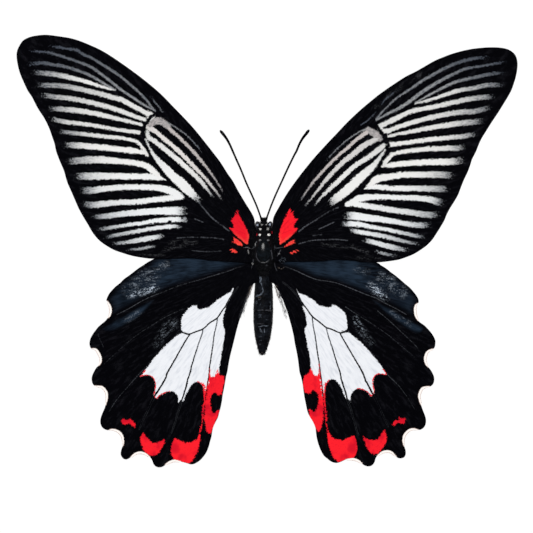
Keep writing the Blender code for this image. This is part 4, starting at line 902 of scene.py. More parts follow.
def wing_material(name, white_patch):
    """Scaly wing surface, whose markings follow the distances stored on its vertices."""
    shader = Shader(name, 0.6, 0.006)
    read, plus, times, weighted = shader.read, shader.plus, shader.times, shader.weighted
    rise, mix = shader.rise, shader.mix
    grain = shader.noise(GRAIN_SIZE, 2.0, 0.6)
    fine = shader.noise(FINE_SIZE, 1.0, 0.5)
    broad = shader.noise(8.0 if white_patch else 3.2, 3.0, 0.5)
    cells = shader.cells(SCALE_SIZE)
    streaks = shader.drawn_out("along", 0.9, "across", 3.2)
    fan = shader.drawn_out("far", 0.3, "fan", 2.0, detail=3.0)
    # Shift of all edges, in millimetres either way
    ragged = weighted((grain, 0.95), (streaks, 0.7), (fine, 0.4), base=-1.025)

    # Black ground with its painted navy sheen, painted glints on the hindwings, grey dust on the forewings and
    # grey lines
    black = mix(rise(weighted((fan, 1.0), (grain, 0.3)), 0.62, 0.9), WING_BLACK, WING_SOOT)
    if white_patch:
        # Painted sheen: navy mixed into the black by the stored share of painted sheen
        sheen = rise(weighted((fan, 0.5), (broad, 0.6)), 0.36, 0.72)
        black = mix(times(read("blue"), sheen), black, SHEEN_NAVY)
    # Painted glints of light on the hindwings, specks of grey dust on the forewings
    dashes = shader.drawn_out("far", 0.5, "fan", 2.4)
    dust_and_glint_speckle = rise(weighted((dashes, 1.1), (cells, 0.28), (grain, 0.3)), 0.8, 1.12)
    black = mix(times(read("glint"), dust_and_glint_speckle), black, GLINT if white_patch else DUST_GREY)
    line = rise(weighted((read("line"), 1.0), (ragged, 0.2)), -0.1, 0.06)
    line = times(times(line, read("line_tone")), rise(plus(grain, broad), 0.7, 1.25))
    black = mix(line, black, VEIN_GREY)

    # Pale markings: a plain patch on the hindwing, stripes with frayed ends on the forewing
    pale = weighted((read("pale"), 1.0), (ragged, 0.85 if white_patch else 1.0))
    pale_mask = rise(pale, -0.11, 0.11)
    if white_patch:
        pale_colour = mix(times(rise(fan, 0.4, 0.8), 0.85), WHITE_PATCH, WHITE_SHADE)
    else:
        tone = read("tone")
        warmth = read("warmth")
        bright = mix(rise(warmth, -0.3, 0.4), PALE_COOL, PALE_WARM)
        bright = mix(rise(warmth, 0.5, 1.0), bright, PALE_ROSE)
        dim = times(rise(weighted((streaks, 1.0), (grain, 0.4)), 0.5, 0.95), rise(tone, 1.1, 0.3))
        pale_colour = mix(weighted((dim, 0.9), base=0.06), mix(tone, PALE_DARK, bright), PALE_DARK)
        specks = weighted((cells, 0.55), (grain, 0.8), (read("fray"), 1.25),
                          (rise(tone, 0.6, 0.15), -0.3), base=-0.62)
        pale_mask = times(pale_mask, rise(specks, 0.3, 0.85))
    colour = mix(pale_mask, black, pale_colour)
    if white_patch:
        vein = rise(weighted((read("vein"), 1.0), (ragged, 0.3)), -0.07, 0.05)
        colour = mix(vein, colour, mix(read("vein_tone"), WING_BLACK, VEIN_GREY))

    # Red markings, streaked away from the root
    red = weighted((read("red"), 1.0), (ragged, 1.3 if white_patch else 0.8))
    plume = shader.drawn_out("far", 0.22, "fan", 0.55, roughness=0.5)
    flame = mix(read("crimson"), SCARLET, CRIMSON)
    flame = mix(rise(plus(grain, streaks), 1.0, 1.4), flame, CRIMSON)
    flame = mix(times(rise(plume, 0.5, 0.68), 0.75), flame, CRIMSON)
    if not white_patch:
        fraying = weighted((shader.drawn_out("far", 0.3, "fan", 0.9, roughness=0.5), 2.2), base=-1.276)
        red = plus(red, times(fraying, rise(read("far"), 4.5, 8.0)))
        flame = mix(times(read("ember"), rise(fine, 0.3, 0.7)), flame, EMBER)
    colour = mix(rise(red, -0.08, 0.1), colour, flame)
    if white_patch:
        fringe = times(rise(read("fringe"), -0.1, 0.1), rise(cells, 0.1, 0.5))
        colour = mix(fringe, colour, PAINTED_FRINGE)
    shader.colour(colour)
    shader.bump(weighted((fine, 0.6), (streaks, 0.5)), 0.04, 0.4)
    return shader.material


def lattice(loop, step, seed, kept_clear):
    """Jittered triangular lattice inside a closed loop, clear of the given points."""
    random = np.random.default_rng(seed)
    row_step = step * math.sin(math.radians(60))
    low = loop.min(0)
    high = loop.max(0)
    tree = kdtree.KDTree(len(kept_clear))
    for i, (x, y) in enumerate(kept_clear):
        tree.insert((x, y, 0.0), i)
    tree.balance()
    ahead = np.roll(loop, -1, 0)
    result = []
    for row in range(int((high[1] - low[1]) / row_step) + 1):
        y = low[1] + row * row_step + 1e-5
        crossed = (loop[:, 1] > y) != (ahead[:, 1] > y)
        a, b = loop[crossed], ahead[crossed]
        xs = np.sort(a[:, 0] + (b[:, 0] - a[:, 0]) * (y - a[:, 1]) / (b[:, 1] - a[:, 1]))
        for start, end in zip(xs[::2], xs[1::2]):
            first = math.ceil((start - low[0]) / step)
            last = math.floor((end - low[0]) / step)
            places = low[0] + np.arange(first, last + 1) * step + (step / 2 if row % 2 else 0.0)
            places = places[(places > start + EDGE_CLEARANCE) & (places < end - EDGE_CLEARANCE)]
            jitter = random.uniform(-JITTER, JITTER, (len(places), 2)) * step
            for x, (dx, dy) in zip(places, jitter):
                spot = (x + dx, y + dy, 0.0)
                if tree.find(spot)[2] > step * 0.55:
                    result.append(spot[:2])
    return np.array(result)


def fill(loop, points):
    """Triangles that fill a closed loop, through its own points and the given ones."""
    everything = [Vector(p) for p in loop] + [Vector(p) for p in points]
    count = len(loop)
    edges = [(i, (i + 1) % count) for i in range(count)]
    result = delaunay_2d_cdt(everything, edges, [], 1, 1e-7, True)
    flat = np.array([point[:] for point in result[0]])
    faces = np.array(result[2])
    # Faces between edge points alone may lie outside the loop
    edge_only = (faces < count).all(1)
    keep = np.ones(len(faces), bool)
    keep[edge_only] = inside(flat[faces[edge_only]].mean(1), loop)
    return flat, faces[keep]


def between(first, second):
    """Line half way between two neighbouring stripes, from the root outwards."""
    result = []
    for x, y in first[::2, :2]:
        gaps = np.hypot(second[:, 0] - x, second[:, 1] - y)
        i = int(gaps.argmin())
        if 0 < i < len(second) - 1:
            result.append(((x + second[i, 0]) / 2, (y + second[i, 1]) / 2))
    start, after = np.array(result[0]), np.array(result[min(4, len(result) - 1)])
    outward = (start - after) / max(np.hypot(*(start - after)), 1e-6)
    return [tuple(start + outward * 2.5)] + result


def join_strokes(where, strokes):
    """Greatest field of several strokes, with the tone and directions of the nearest one."""
    field = np.full(len(where), -REACH)
    tone = np.zeros(len(where))
    along = np.zeros(len(where))
    across = np.zeros(len(where))
    which = np.full(len(where), -1)
    for number, rows in enumerate(strokes):
        found = stroke_field(where, rows)
        better = found[0] > field
        field[better] = found[0][better]
        tone[better] = found[1][better]
        along[better] = found[2][better]
        across[better] = found[3][better] + 3.0 * number
        which[better] = number
    return field, tone, along, across, which


def soft_strokes(where, items):
    """Blurred strokes, each given by strength, softness, widths and points."""
    result = np.zeros(len(where))
    for strength, softness, widths, points in items:
        rows = stroke(points, widths)
        field = stroke_field(where, rows, softness + 0.2)[0]
        result = np.maximum(result, strength * ramp(field, -softness, softness * 0.4))
    return result


def lengthen(points, extra):
    """Move the first point of a row outwards along its own line."""
    (ax, ay), (bx, by) = points[:2]
    size = math.hypot(ax - bx, ay - by)
    return ((ax + (ax - bx) * extra / size, ay + (ay - by) * extra / size),) + tuple(points[1:])


def fore_rows(stripes, outer):
    """Strokes of the pale stripes; those before the given number run out to the wing's edge."""
    rows = []
    for number, (_, widths, tones, points) in enumerate(stripes):
        if number < outer:
            points = lengthen(points, FRAYED_REACH)
        rows.append(stroke(points, widths, tones))
    return rows


def fan_places(where, root):
    """Distance from the wing's root and width along the arc round it."""
    offset = np.column_stack([np.abs(where[:, 0]) - abs(root[0]), where[:, 1] - root[1]])
    return np.hypot(*offset.T), FAN_RADIUS * np.arctan2(offset[:, 1], offset[:, 0])


def take_greater(first, found, share):
    """Take over a second field, and its share of crimson, where it is greater."""
    red, crimson = first
    better = found > red
    red[better] = found[better]
    crimson[better] = share


def fore_marks(where, wing):
    """Markings of a forewing at the given points."""
    rows = fore_rows(wing["stripes"], wing["outer"])
    pale, tone, along, across, which = join_strokes(where, rows)
    cell = stroke_field(where, stroke(wing["veins"][0], CELL_VEIN_WIDTHS))[0]
    pale = np.minimum(pale, -cell)
    on_outer = (which >= 0) & (which < wing["outer"])
    fray = np.where(on_outer, ramp(along, 0.0, FRAYED_LENGTH), 1.0)
    lengths = np.array([np.hypot(*np.diff(row[:, :2], axis=0).T).sum() for row in rows] + [0.0])
    loose_end = (which >= wing["loose"]) & (lengths[which] > SHORT_STRIPE)
    fray *= np.where(loose_end, ramp(lengths[which] - along, -0.2, LOOSE_LENGTH), 1.0)
    warmths = np.array([stripe[0] for stripe in wing["stripes"]] + [0.0])
    red = np.full(len(where), -REACH)
    crimson = np.zeros(len(where))
    for share, points in wing["reds"]:
        take_greater((red, crimson), area_field(where, points), share)
    far, fan = fan_places(where, FORE_ROOT)
    lines = [stroke(points, (width,), (strength,)) for width, strength, points in wing["lines"]]
    line = join_strokes(where, lines)
    ridges = [stroke(points, (RIDGE_WIDTH,)) for points in wing["veins"]]
    ridges += [stroke(between(rows[a], rows[b]), (RIDGE_WIDTH,)) for a, b in wing["pairs"]]
    return {
        "pale": pale, "tone": tone * (0.45 + 0.55 * fray), "along": along, "across": across,
        "warmth": warmths[which], "fray": fray, "far": far, "fan": fan,
        "glint": soft_strokes(where, wing["dust"]), "red": red, "crimson": crimson,
        "ember": ramp(-red, -1.0, -0.1) * ramp(7.0 - where[:, 1], 0.0, 5.0),
        "line": line[0], "line_tone": line[1], "ridge": join_strokes(where, ridges)[0],
    }


def hind_marks(where, wing):
    """Markings of a hindwing at the given points."""
    pale = np.max([area_field(where, points) for points in wing["whites"]], 0)
    red = np.full(len(where), -REACH)
    crimson = np.zeros(len(where))
    for number, (share, points) in enumerate(wing["reds"]):
        found = area_field(where, points)
        if number == 0:
            found = np.minimum(found, -area_field(where, wing["spot"]))
        take_greater((red, crimson), found, share)
    for share, widths, points in wing["red_lines"]:
        take_greater((red, crimson), stroke_field(where, stroke(points, widths))[0] + 0.02, share)
    for points in wing["red_edges"]:
        found = np.minimum(stroke_field(where, stroke(points))[0] + 0.5, np.minimum(0.2 - pale, pale + 0.06))
        take_greater((red, crimson), RED_EDGE_SHARPNESS * found, RED_EDGE_CRIMSON)
    strokes = [stroke(points, VEIN_WIDTHS[name]) for name, points in wing["veins"].items()]
    vein, _, along, across, which = join_strokes(where, strokes)
    names = np.array([*wing["veins"], "none"])[which]
    on_white = np.isin(names, VEINS_ON_WHITE)
    grey = np.zeros(len(where))
    for name, (share, low, high) in GREY_VEINS.items():
        grey += np.where(names == name, share * ramp(where[:, 1], low, high), 0.0)
    faint = np.where(names == MAIN_FAINT_VEIN, MAIN_FAINT_TONE, FAINT_TONE)
    faint *= ramp(np.abs(where[:, 0]), *FAINT_VEINS_X)
    far, fan = fan_places(where, HIND_ROOT)
    # Painted sheen: share of navy over the front of the hindwing, fading outwards
    blue = np.zeros(len(where))
    for softness, fade, points in wing["sheen"]:
        found = ramp(area_field(where, points), 0.0, softness)
        blue = np.maximum(blue, found * (1.0 - fade * ramp(np.abs(where[:, 0]), *SHEEN_FADE_X)))
    fringes = [stroke(points, (PAINTED_FRINGE_WIDTH,)) for points in wing["fringes"]]
    return {
        "pale": pale, "along": along, "across": across, "far": far, "fan": fan, "red": red,
        "crimson": crimson, "line": np.where(on_white, vein + 0.03, vein - 0.05),
        "line_tone": np.where(on_white, WHITE_VEIN_TONE, faint),
        "vein": np.where(on_white, vein, -REACH), "vein_tone": grey, "blue": blue,
        "glint": soft_strokes(where, wing["glints"]), "fringe": join_strokes(where, fringes)[0],
        "ridge": vein,
    }


def turned(flat, faces, upward):
    """Triangles with their corners in the order that makes them face up or down."""
    a, b, c = flat[faces[0]]
    return faces if (np.cross(b - a, c - a) > 0) == upward else faces[:, ::-1]


def make_wing(name, outline, root_z, seed, marks, strokes, material):
    """Make one wing as a thin closed sheet with raised veins and markings stored on its vertices."""
    loop = smooth(outline, closed=True, step=EDGE_STEP)
    guides = [smooth(rows[:, :2], step=GUIDE_STEP) for rows in strokes]
    guides = np.concatenate([line[inside(line, loop)] for line in guides])
    # Points on the markings' middle lines, less those close to an earlier one or to the edge
    tree = kdtree.KDTree(len(loop) + len(guides))
    for i, (x, y) in enumerate(np.concatenate([loop, guides])):
        tree.insert((x, y, 0.0), i)
    tree.balance()
    thinned = []
    for i, (x, y) in enumerate(guides):
        close = tree.find_range((x, y, 0.0), GUIDE_GAP)
        if not any(found < len(loop) + i for _, found, _ in close):
            thinned.append((x, y))
    guides = np.array(thinned)
    inner = lattice(loop, TOP_STEP, seed, np.concatenate([loop, guides]))
    flat, faces = fill(loop, np.concatenate([guides, inner]))
    under_flat, under_faces = fill(loop, lattice(loop, UNDER_STEP, seed + 1, loop))
    top_values = marks(flat)
    under_values = marks(under_flat)

    def heights(where, values, side):
        arch = root_z + WING_RISE * (np.abs(where[:, 0]) - WING_ROOT_X) ** 2
        ridge = ramp(values["ridge"], -0.3, 0.16) * VEIN_HEIGHT
        valley = -VALLEY_DEPTH * ramp(-values["ridge"], 0.2, 1.9)
        return arch + side * (SHEET_HALF + ridge) + valley

    top = np.column_stack([flat, heights(flat, top_values, 1)]) * MM
    under = np.column_stack([under_flat, heights(under_flat, under_values, -1)]) * MM
    faces = turned(flat, faces, True)
    under_faces = turned(under_flat, under_faces, False)
    count = len(loop)
    shift = len(top)
    area = np.sum(loop[:, 0] * np.roll(loop[:, 1], -1) - np.roll(loop[:, 0], -1) * loop[:, 1])
    rim = []
    for i in range(count):
        j = (i + 1) % count
        quad = (i, j, j + shift, i + shift)
        rim.append(quad if area < 0 else quad[::-1])
    mesh = bpy.data.meshes.new(name)
    mesh.from_pydata(np.concatenate([top, under]).tolist(), [],
                     faces.tolist() + (under_faces + shift).tolist() + rim)
    mesh.shade_smooth()
    for key in top_values:
        set_attribute(mesh, key, np.concatenate([top_values[key], under_values[key]]))
    return new_object(name, mesh, material)


THORAX_CENTRE = (0.1, 0.25, 3.8)
THORAX_HALF = (3.45, 5.75, 4.3)
DISK_CENTRE = (0.12, 0.45, 7.15)
DISK_HALF = (2.05, 3.4, 1.3)
COLLAR_CENTRE = (0.1, 5.75, 4.5)
COLLAR_HALF = (2.55, 1.35, 2.2)
WAIST_CENTRE = (0.1, -5.7, 3.4)
WAIST_HALF = (2.6, 1.5, 2.3)
# White and red dots on the back, and tufts of painted highlight and sheen on the eyes, abdomen and beside the
# thorax: place, half widths, number of hairs, shade
DOTS = (
    (-0.87, 6.49, 0.34, 0.32, 150, 1.0), (1.22, 6.49, 0.34, 0.34, 150, 1.0),
    (-1.03, 4.85, 0.34, 0.3, 140, 1.0), (1.49, 4.85, 0.45, 0.3, 170, 1.0),
    (-0.95, 3.32, 0.34, 0.28, 90, 0.58), (1.22, 3.32, 0.4, 0.24, 90, 0.52),
    (-0.52, 7.71, 0.26, 0.2, 60, 0.75), (0.77, 7.71, 0.24, 0.2, 60, 0.75),
    # The two of shade 3.6 on the eyes are bluish white tufts that are the eyes' painted highlights
    (-1.7, 7.6, 0.3, 0.36, 60, 3.6), (1.75, 7.78, 0.26, 0.4, 60, 3.6),
    (-1.95, 5.05, 0.22, 0.36, 150, 1.7), (-2.05, 5.6, 0.17, 0.22, 80, 0.9), (2.25, 5.5, 0.2, 0.5, 90, 1.7),
    (-3.04, -3.19, 0.2, 0.28, 50, 0.85), (0.9, -3.67, 0.34, 0.18, 40, 0.42),
    (4.3, -0.45, 0.3, 0.2, 34, 0.6), (-2.3, 2.1, 0.14, 0.4, 40, 0.75),
    # Slate patches of shade 4.6: painted highlights on the abdomen, and the last one painted sheen beside the
    # thorax on the right
    (-1.03, -7.05, 0.42, 0.4, 34, 4.6), (-1.05, -13.2, 0.4, 0.25, 14, 4.6), (-1.9, -14.0, 0.26, 0.5, 26, 4.6),
    (-0.9, -14.6, 0.3, 0.3, 10, 4.6), (-0.95, -17.5, 0.5, 0.24, 18, 4.6), (-0.95, -18.2, 0.4, 0.2, 12, 4.6),
    (0.9, -18.9, 0.3, 0.2, 8, 4.6), (-0.84, -23.7, 0.5, 0.2, 16, 4.6), (-0.84, -24.8, 0.4, 0.2, 9, 4.6),
    (-1.0, -25.8, 0.3, 0.2, 7, 4.6), (-0.35, -28.3, 0.2, 0.25, 10, 2.6), (5.3, -2.2, 1.0, 0.9, 60, 4.6),
)
# Strands of pale, brown and slate hair on the back, wing roots and abdomen: shade, number of hairs, points. The
# slate ones are painted highlights, and the grey arcs round the disk are partly painted highlight.
STRANDS = (
    (0.45, 50, ((-1.84, 3.0), (-2.25, 2.3), (-2.35, 1.6), (-2.96, 1.05))),
    (0.5, 44, ((-5.5, 1.2), (-4.7, 1.3), (-3.9, 1.05))),
    (0.6, 26, ((-4.4, 0.67), (-4.17, -0.13))),
    # Grey arcs round the disk, partly grey hair and partly painted highlight along its rim
    (0.3, 60, ((-1.67, 0.67), (-2.0, -1.1), (-1.5, -2.2), (-0.71, -2.87))),
    (0.52, 34, ((-0.7, -2.85), (0.17, -2.95), (0.9, -2.75))),
    (0.3, 20, ((0.9, -2.75), (1.5, -2.3))),
    (0.36, 60, ((2.02, 0.67), (2.34, -0.46), (2.5, -1.6))),
    (0.34, 40, ((-2.8, -2.0), (-3.04, -3.2), (-3.4, -4.4))),
    (0.4, 60, ((3.15, 1.8), (3.15, 1.15), (4.1, 1.15), (5.2, 1.3))),
    (0.45, 40, ((4.9, 0.83), (4.27, -0.46), (3.95, -0.94))),
    (0.3, 36, ((3.1, -3.0), (3.3, -4.3), (3.6, -5.1))),
    (2.6, 12, ((4.1, -4.15), (4.75, -4.7), (5.55, -4.3), (5.7, -4.0))),
    # Grey arc beside the disk on the right, partly grey hair and partly painted highlight
    (0.36, 30, ((1.9, 0.85), (2.3, -0.3), (2.46, -1.65))),
    # Slate strands on the abdomen: painted highlights
    (4.6, 42, ((-1.1, -7.0), (-0.8, -8.2), (-0.5, -9.2))),
    (4.6, 60, ((-1.0, -7.0), (-0.6, -7.6), (-0.9, -8.2))),
    (4.6, 64, ((-0.25, -9.9), (-0.2, -11.0), (-0.7, -11.9), (-1.6, -12.1))),
    (4.6, 46, ((-0.6, -11.5), (-1.1, -12.1), (-1.9, -12.4))),
    (2.6, 12, ((-1.7, -12.5), (-0.8, -12.7))),
    (4.6, 16, ((1.9, -13.9), (1.95, -16.0))),
    (0.42, 46, ((-1.8, -16.4), (-1.0, -16.3), (-0.1, -16.2))),
    (0.45, 40, ((0.45, -16.25), (1.2, -16.35), (1.9, -16.45))),
    (0.3, 26, ((-1.7, -20.1), (-0.27, -20.2))),
    (4.6, 44, ((-1.4, -21.0), (-0.3, -20.75), (1.0, -20.7))),
    (4.6, 26, ((-0.95, -21.4), (-0.6, -22.3))),
    (4.6, 16, ((0.2, -21.4), (0.3, -22.4))),
)
# Thorax from front to back: Y, half width, half height, level of the middle
THORAX_PROFILE = (
    (6.1, 1.3, 1.4, 4.5), (5.6, 2.0, 2.35, 4.4), (5.0, 2.45, 3.05, 4.2), (3.5, 3.1, 3.9, 4.0),
    (1.0, 3.55, 4.45, 3.85), (-1.5, 3.5, 4.45, 3.8), (-3.5, 3.15, 3.8, 3.7), (-4.9, 2.65, 2.95, 3.45),
    (-5.55, 1.6, 1.8, 3.2),
)
HEAD_CENTRE = (0.1, 7.55, 4.4)
HEAD_HALF = (1.0, 1.45, 1.6)
BODY_TOP = 8.25

# Hair: lowest and highest point, numbers of hairs, colours
HAIR_LOW = 0.05
HAIR_HIGH = 8.5
THORAX_HAIRS = 4200
HEAD_HAIRS = 900
FACE_HAIRS = 520
COLLAR_HAIRS = 1200
WAIST_HAIRS = 1000
ABDOMEN_HAIRS = 5200
HAIR_BLACK = (0.0012, 0.0012, 0.0018)
HAIR_GREY = (0.07, 0.072, 0.085)
HAIR_WHITE = (0.95, 0.94, 0.91)
HAIR_RED = (0.55, 0.015, 0.026)
HAIR_BROWN = (0.17, 0.14, 0.12)
# Bluish white of the painted eye highlights
HAIR_EYE_HIGHLIGHT = (0.60, 0.66, 0.78)
# Slate of the painted highlights on the abdomen and of the painted sheen beside the thorax
HAIR_SLATE_HIGHLIGHT = (0.15, 0.175, 0.215)
# Stretches of the shade over which the hair passes on to the next colour
HAIR_STEPS = (
    (0.0, 0.4, HAIR_GREY), (0.4, 1.0, HAIR_WHITE), (1.2, 1.5, HAIR_RED),
    (2.2, 2.5, HAIR_BROWN), (3.2, 3.5, HAIR_EYE_HIGHLIGHT), (4.2, 4.5, HAIR_SLATE_HIGHLIGHT),
)

# Head, abdomen, legs, feelers, tongue and antennae
CHITIN_BLACK = (0.0015, 0.0015, 0.002)
EYE_OFFSET_X = 1.8
EYE_CENTRE = (0.12, 7.5, 4.3)
EYE_HALF = (0.78, 1.15, 1.25)
ABDOMEN_Z = 2.95
ABDOMEN_TIP_Z = 2.2
ABDOMEN_FLATTEN = 0.94
ABDOMEN_FRONT_Y = -5.8
ABDOMEN_TIP_Y = -29.05
# Abdomen from front to back: Y, side offset, half width
ABDOMEN_PROFILE = (
    (-5.8, 0.05, 1.75), (-6.4, 0.05, 2.15), (-8.2, 0.05, 2.35), (-12.0, 0.0, 2.58),
    (-16.8, -0.06, 2.74), (-20.2, -0.15, 2.6), (-23.7, -0.2, 2.15), (-26.8, -0.3, 1.34),
    (-28.3, -0.35, 0.78), (-29.05, -0.4, 0.2),
)
SEGMENT_JOINTS_Y = (-9.6, -12.9, -16.4, -20.2, -23.4, -25.8, -27.6)
LEG_PATHS = {
    "front": ((3.2, 3.4, 1.6), (5.4, 5.4, 2.9), (7.0, 7.6, 1.3), (8.4, 8.7, 0.3), (9.6, 9.3, 0.17)),
    "middle": ((3.75, 0.2, 1.6), (6.3, 0.7, 3.0), (8.6, 0.2, 1.3), (10.0, -0.7, 0.3), (11.2, -1.5, 0.17)),
    "hind": ((3.4, -3.2, 1.6), (5.8, -4.9, 2.9), (7.4, -7.4, 1.3), (8.3, -9.0, 0.3), (9.0, -10.4, 0.17)),
}
LEG_RADII = (0.42, 0.34, 0.24, 0.18, 0.15)
PALP_PATH = ((0.5, 8.8, 2.5), (0.56, 9.2, 3.2), (0.58, 9.35, 4.0), (0.5, 9.3, 4.6))
PALP_RADII = (0.2, 0.28, 0.26, 0.12)
FOOT_START = 0.66
FOOT_JOINTS = 5
TONGUE_CENTRE = (0.1, 8.15, 1.4)
TONGUE_POINTS = 110
TONGUE_TURNS = 1.5
TONGUE_OUTER = 0.85
TONGUE_INNER = 0.28
TONGUE_RADIUS = 0.11
ANTENNA_ROOT_Z = 5.15
ANTENNA_LIFT = 0.9
ANTENNA_RADIUS = 0.25
ANTENNA_RING_LENGTH = 0.5
CLUB_SWELL = 0.155
ANTENNA_LEFT = (
    (-0.5, 8.95), (-1.8, 12.6), (-3.1, 15.6), (-4.7, 19.1), (-6.3, 23.0), (-7.7, 26.15),
    (-8.6, 28.2), (-9.4, 30.0), (-10.2, 31.5), (-11.05, 32.7), (-12.2, 34.1),
)
ANTENNA_RIGHT = (
    (0.7, 8.95), (2.0, 12.6), (3.4, 16.0), (5.05, 19.6), (6.7, 23.2), (8.45, 26.8),
    (9.3, 28.4), (10.05, 30.2), (10.95, 31.8), (11.95, 33.1), (12.85, 34.3),
)


def bend_noise(points, size, seed):
    """Smooth random value per point, from a few crossed waves."""
    random = np.random.default_rng(seed)
    value = np.zeros(len(points))
    for _ in range(7):
        direction = random.normal(size=3)
        direction /= np.linalg.norm(direction)
        value += np.sin(points @ direction * (math.tau / size) * random.uniform(0.7, 1.5)
                        + random.uniform(0, math.tau))
    return value / 7


def smooth_mesh(name, points, faces):
    """Smoothly shaded mesh from points in millimetres."""
    mesh = bpy.data.meshes.new(name)
    mesh.from_pydata((points * MM).tolist(), [], faces)
    mesh.shade_smooth()
    return mesh


def ball_mesh(name, centre, half, columns, rings, change=None):
    """Closed ellipsoid with its poles front and back; change may move its points in millimetres."""
    points = [(0.0, 1.0, 0.0)]
    for ring in range(1, rings):
        polar = math.pi * ring / rings
        for column in range(columns):
            angle = math.tau * column / columns
            points.append((math.sin(polar) * math.cos(angle), math.cos(polar),
                           math.sin(polar) * math.sin(angle)))
    points.append((0.0, -1.0, 0.0))
    unit = np.array(points)
    place = unit * half + centre
    if change:
        place = change(unit, place)
    faces = []
    for column in range(columns):
        after = (column + 1) % columns
        faces.append((0, 1 + after, 1 + column))
        for ring in range(rings - 2):
            start = 1 + ring * columns
            faces.append((start + column, start + after, start + columns + after, start + columns + column))
        start = 1 + (rings - 2) * columns
        faces.append((start + column, start + after, len(unit) - 1))
    return smooth_mesh(name, place, faces)


def tube_mesh(name, path, radii, sides=16, flatten=1.0):
    """Closed tube through points in millimetres, with a radius at each, level sides kept upright."""
    path = np.array(path, float)
    forward = np.gradient(path, axis=0)
    forward /= np.linalg.norm(forward, axis=1)[:, None]
    up = np.tile((0.0, 0.0, 1.0), (len(path), 1))
    steep = np.abs(forward[:, 2]) > 0.9
    up[steep] = (1.0, 0.0, 0.0)
    side = np.cross(forward, up)
    side /= np.linalg.norm(side, axis=1)[:, None]
    for i in range(1, len(side)):
        if side[i] @ side[i - 1] < 0:
            side[i] = -side[i]
    above = np.cross(side, forward)
    angle = np.arange(sides) * math.tau / sides
    ring = (np.cos(angle)[None, :, None] * side[:, None]
            + flatten * np.sin(angle)[None, :, None] * above[:, None])
    points = (path[:, None] + ring * np.array(radii)[:, None, None]).reshape(-1, 3)
    points = np.concatenate([points, path[:1], path[-1:]])
    faces = []
    last = len(path) - 1
    for j in range(sides):
        k = (j + 1) % sides
        for i in range(last):
            faces.append((i * sides + j, (i + 1) * sides + j, (i + 1) * sides + k, i * sides + k))
        faces.append((len(points) - 2, j, k))
        faces.append((len(points) - 1, last * sides + k, last * sides + j))
    return smooth_mesh(name, points, faces)


def hair_mesh(name, roots, directions, lengths, radius, shades, seed, curl=0.25):
    """Many short tapered hairs joined in one mesh, with a shade stored on each."""
    random = np.random.default_rng(seed)
    roots = np.asarray(roots, float)
    directions = np.asarray(directions, float)
    directions = directions / np.linalg.norm(directions, axis=1)[:, None]
    count = len(roots)
    bend = random.normal(0, curl, (count, 3))
    lengths = np.asarray(lengths, float)[:, None]
    middle = roots + directions * lengths * 0.55
    tips = roots + (directions + bend) * lengths
    other = np.cross(directions, random.normal(size=(count, 3)))
    other /= np.linalg.norm(other, axis=1)[:, None]
    third = np.cross(directions, other)
    rings = []
    for centre, size in ((roots, radius), (middle, radius * 0.8)):
        for k in range(3):
            angle = math.tau * k / 3
            rings.append(centre + (other * math.cos(angle) + third * math.sin(angle)) * size)
    points = np.stack(rings + [tips], 1).reshape(-1, 3)
    points[:, 2] = np.clip(points[:, 2], HAIR_LOW, HAIR_HIGH)
    pattern = []
    for k in range(3):
        j = (k + 1) % 3
        pattern += [(k, j, j + 3), (k, j + 3, k + 3), (k + 3, j + 3, 6)]
    pattern.append((2, 1, 0))
    faces = (np.arange(count)[:, None, None] * 7 + np.array(pattern)[None]).reshape(-1, 3)
    mesh = smooth_mesh(name, points, faces.tolist())
    set_attribute(mesh, "shade", np.repeat(np.asarray(shades, float), 7))
    return mesh


def body_material(name, roughness, specular, dark, light, size, bump_mm):
    """Chitin or short velvet: a dark colour with uneven lighter grain."""
    shader = Shader(name, roughness, specular)
    grain = shader.noise(size, 3.0, 0.6)
    broad = shader.noise(size * 6, 2.0, 0.5)
    mixed = shader.weighted((grain, 0.7), (broad, 0.5))
    shader.colour(shader.mix(shader.rise(mixed, 0.5, 0.85), dark, light))
    shader.bump(grain, bump_mm, 0.7)
    return shader.material


def hair_material():
    """Hair, whose shade runs from black to white up to 1 and has one more colour at each half; the bluish white
    and the slate are painted highlights.
    """
    shader = Shader("hair", 0.6, 0.05)
    shade = shader.read("shade")
    colour = HAIR_BLACK
    for low, high, following in HAIR_STEPS:
        colour = shader.mix(shader.rise(shade, low, high), colour, following)
    shader.colour(colour)
    return shader.material


def eye_material():
    """Compound eye, fine facets under a glossy surface."""
    shader = Shader("eye", 0.35, 0.2)
    cells = shader.cells(0.055)
    shader.colour(shader.mix(shader.rise(cells, 0.2, 0.9), (0.003, 0.003, 0.004), (0.012, 0.012, 0.016)))
    shader.bump(cells, 0.008, 0.3)
    return shader.material


